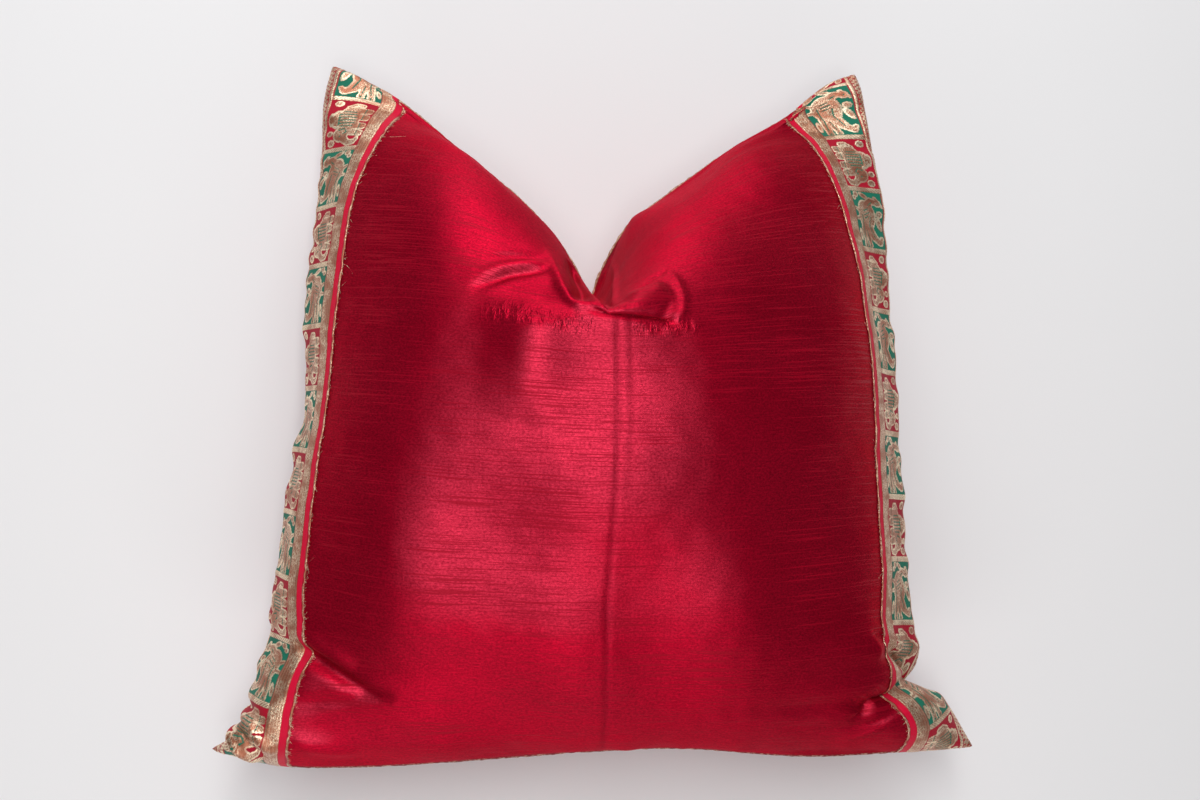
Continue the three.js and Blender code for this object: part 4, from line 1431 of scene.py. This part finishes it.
def sheet_grid(name, centre, half, height, material, cells=8):
    """A flat square grid of points at a height, as a surface of two parameters."""
    line = np.linspace(-half, half, cells + 1)
    x, y = np.meshgrid(line + centre[0], line + centre[1])
    points = np.stack([x, y, np.full_like(x, height)], -1).reshape(-1, 3)
    return fill_mesh(name, points, grid_quads(np.arange(len(points)).reshape(x.shape)).tolist(), material)


def soft_light(name, place, target, size, power, colour):
    """A rectangular area light at a place, facing a target."""
    lamp = bpy.data.lights.new(name, "AREA")
    lamp.shape = "RECTANGLE"
    lamp.size, lamp.size_y = size
    lamp.energy = power
    lamp.color = colour
    made = bpy.data.objects.new(name, lamp)
    made.location = place
    made.rotation_euler = (Vector(target) - Vector(place)).to_track_quat("-Z", "Y").to_euler()
    bpy.context.scene.collection.objects.link(made)


def face_camera():
    """The camera: back from its target along the face's normal, tilted and panned, and level in the
    picture."""
    back = Vector((
        -math.sin(CAMERA_PAN) * math.cos(CAMERA_TILT), -math.sin(CAMERA_TILT),
        math.cos(CAMERA_PAN) * math.cos(CAMERA_TILT),
    ))
    right = Vector((0, 1, 0)).cross(back).normalized()
    above = back.cross(right)
    camera = bpy.data.cameras.new("Camera")
    camera.lens = CAMERA_LENS
    camera.sensor_width = CAMERA_SENSOR
    made = bpy.data.objects.new("Camera", camera)
    turn = Matrix((right, above, back)).transposed().to_4x4()
    made.matrix_world = Matrix.Translation(CAMERA_TARGET + back * CAMERA_DISTANCE) @ turn
    bpy.context.scene.collection.objects.link(made)
    return made


class PILLOW_OT_stage(bpy.types.Operator):
    """Make the pale ground, the soft lights and the camera"""

    bl_idname = "pillow.stage"
    bl_label = "Stage"

    def execute(self, context):
        scene = context.scene
        ground = sheet_grid("ground", (0, 0), 6.0, -0.3 * MM, ground_material(scene.pillow_colours))
        soft_light("Overhead strip", (-0.18, 0.15, 2.4), (-0.18, 0, 0.2), (0.5, 2.2), 33, (1.0, 0.99, 0.97))
        soft_light("Top window", (-0.1, 2.3, 1.5), (0, 0.1, 0.15), (1.6, 1.2), 36, (1.0, 1.0, 1.0))
        soft_light("Low bounce", (-0.2, -1.9, 1.05), (0, -0.1, 0.1), (2.0, 0.5), 12, (1.0, 0.95, 0.93))
        world = bpy.data.worlds.new("Studio")
        world.use_nodes = True
        set_input(world.node_tree.nodes["Background"], "Color", (0.93, 0.94, 0.97, 1.0))
        set_input(world.node_tree.nodes["Background"], "Strength", 0.16)
        scene.world = world
        scene.camera = face_camera()
        scene.view_settings.view_transform = "Standard"
        return {"FINISHED"}


class PILLOW_PT_panel(bpy.types.Panel):
    """Lists the pillow's sizes, colours and pieces"""

    bl_idname = "PILLOW_PT_panel"
    bl_label = "Silk pillow cover"
    bl_space_type = "VIEW_3D"
    bl_region_type = "UI"
    bl_category = "Pillow"

    def draw(self, context):
        layout = self.layout
        for group in (context.scene.pillow_sizes, context.scene.pillow_colours):
            box = layout.box()
            for key in group.__annotations__:
                box.prop(group, key)
        for operator in OPERATORS:
            layout.operator(operator.bl_idname)


OPERATORS = (PILLOW_OT_cover, PILLOW_OT_trims, PILLOW_OT_seam, PILLOW_OT_fray, PILLOW_OT_stage)
CLASSES = (PillowSizes, PillowColours, *OPERATORS, PILLOW_PT_panel)


def register():
    for made in CLASSES:
        bpy.utils.register_class(made)
    bpy.types.Scene.pillow_sizes = bpy.props.PointerProperty(type=PillowSizes)
    bpy.types.Scene.pillow_colours = bpy.props.PointerProperty(type=PillowColours)


def unregister():
    del bpy.types.Scene.pillow_colours
    del bpy.types.Scene.pillow_sizes
    for made in reversed(CLASSES):
        bpy.utils.unregister_class(made)


def main():
    """Registers the classes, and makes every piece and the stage."""
    register()
    bpy.ops.pillow.cover()
    bpy.ops.pillow.trims()
    bpy.ops.pillow.seam()
    bpy.ops.pillow.fray()
    bpy.ops.pillow.stage()


if __name__ == "__main__":
    main()
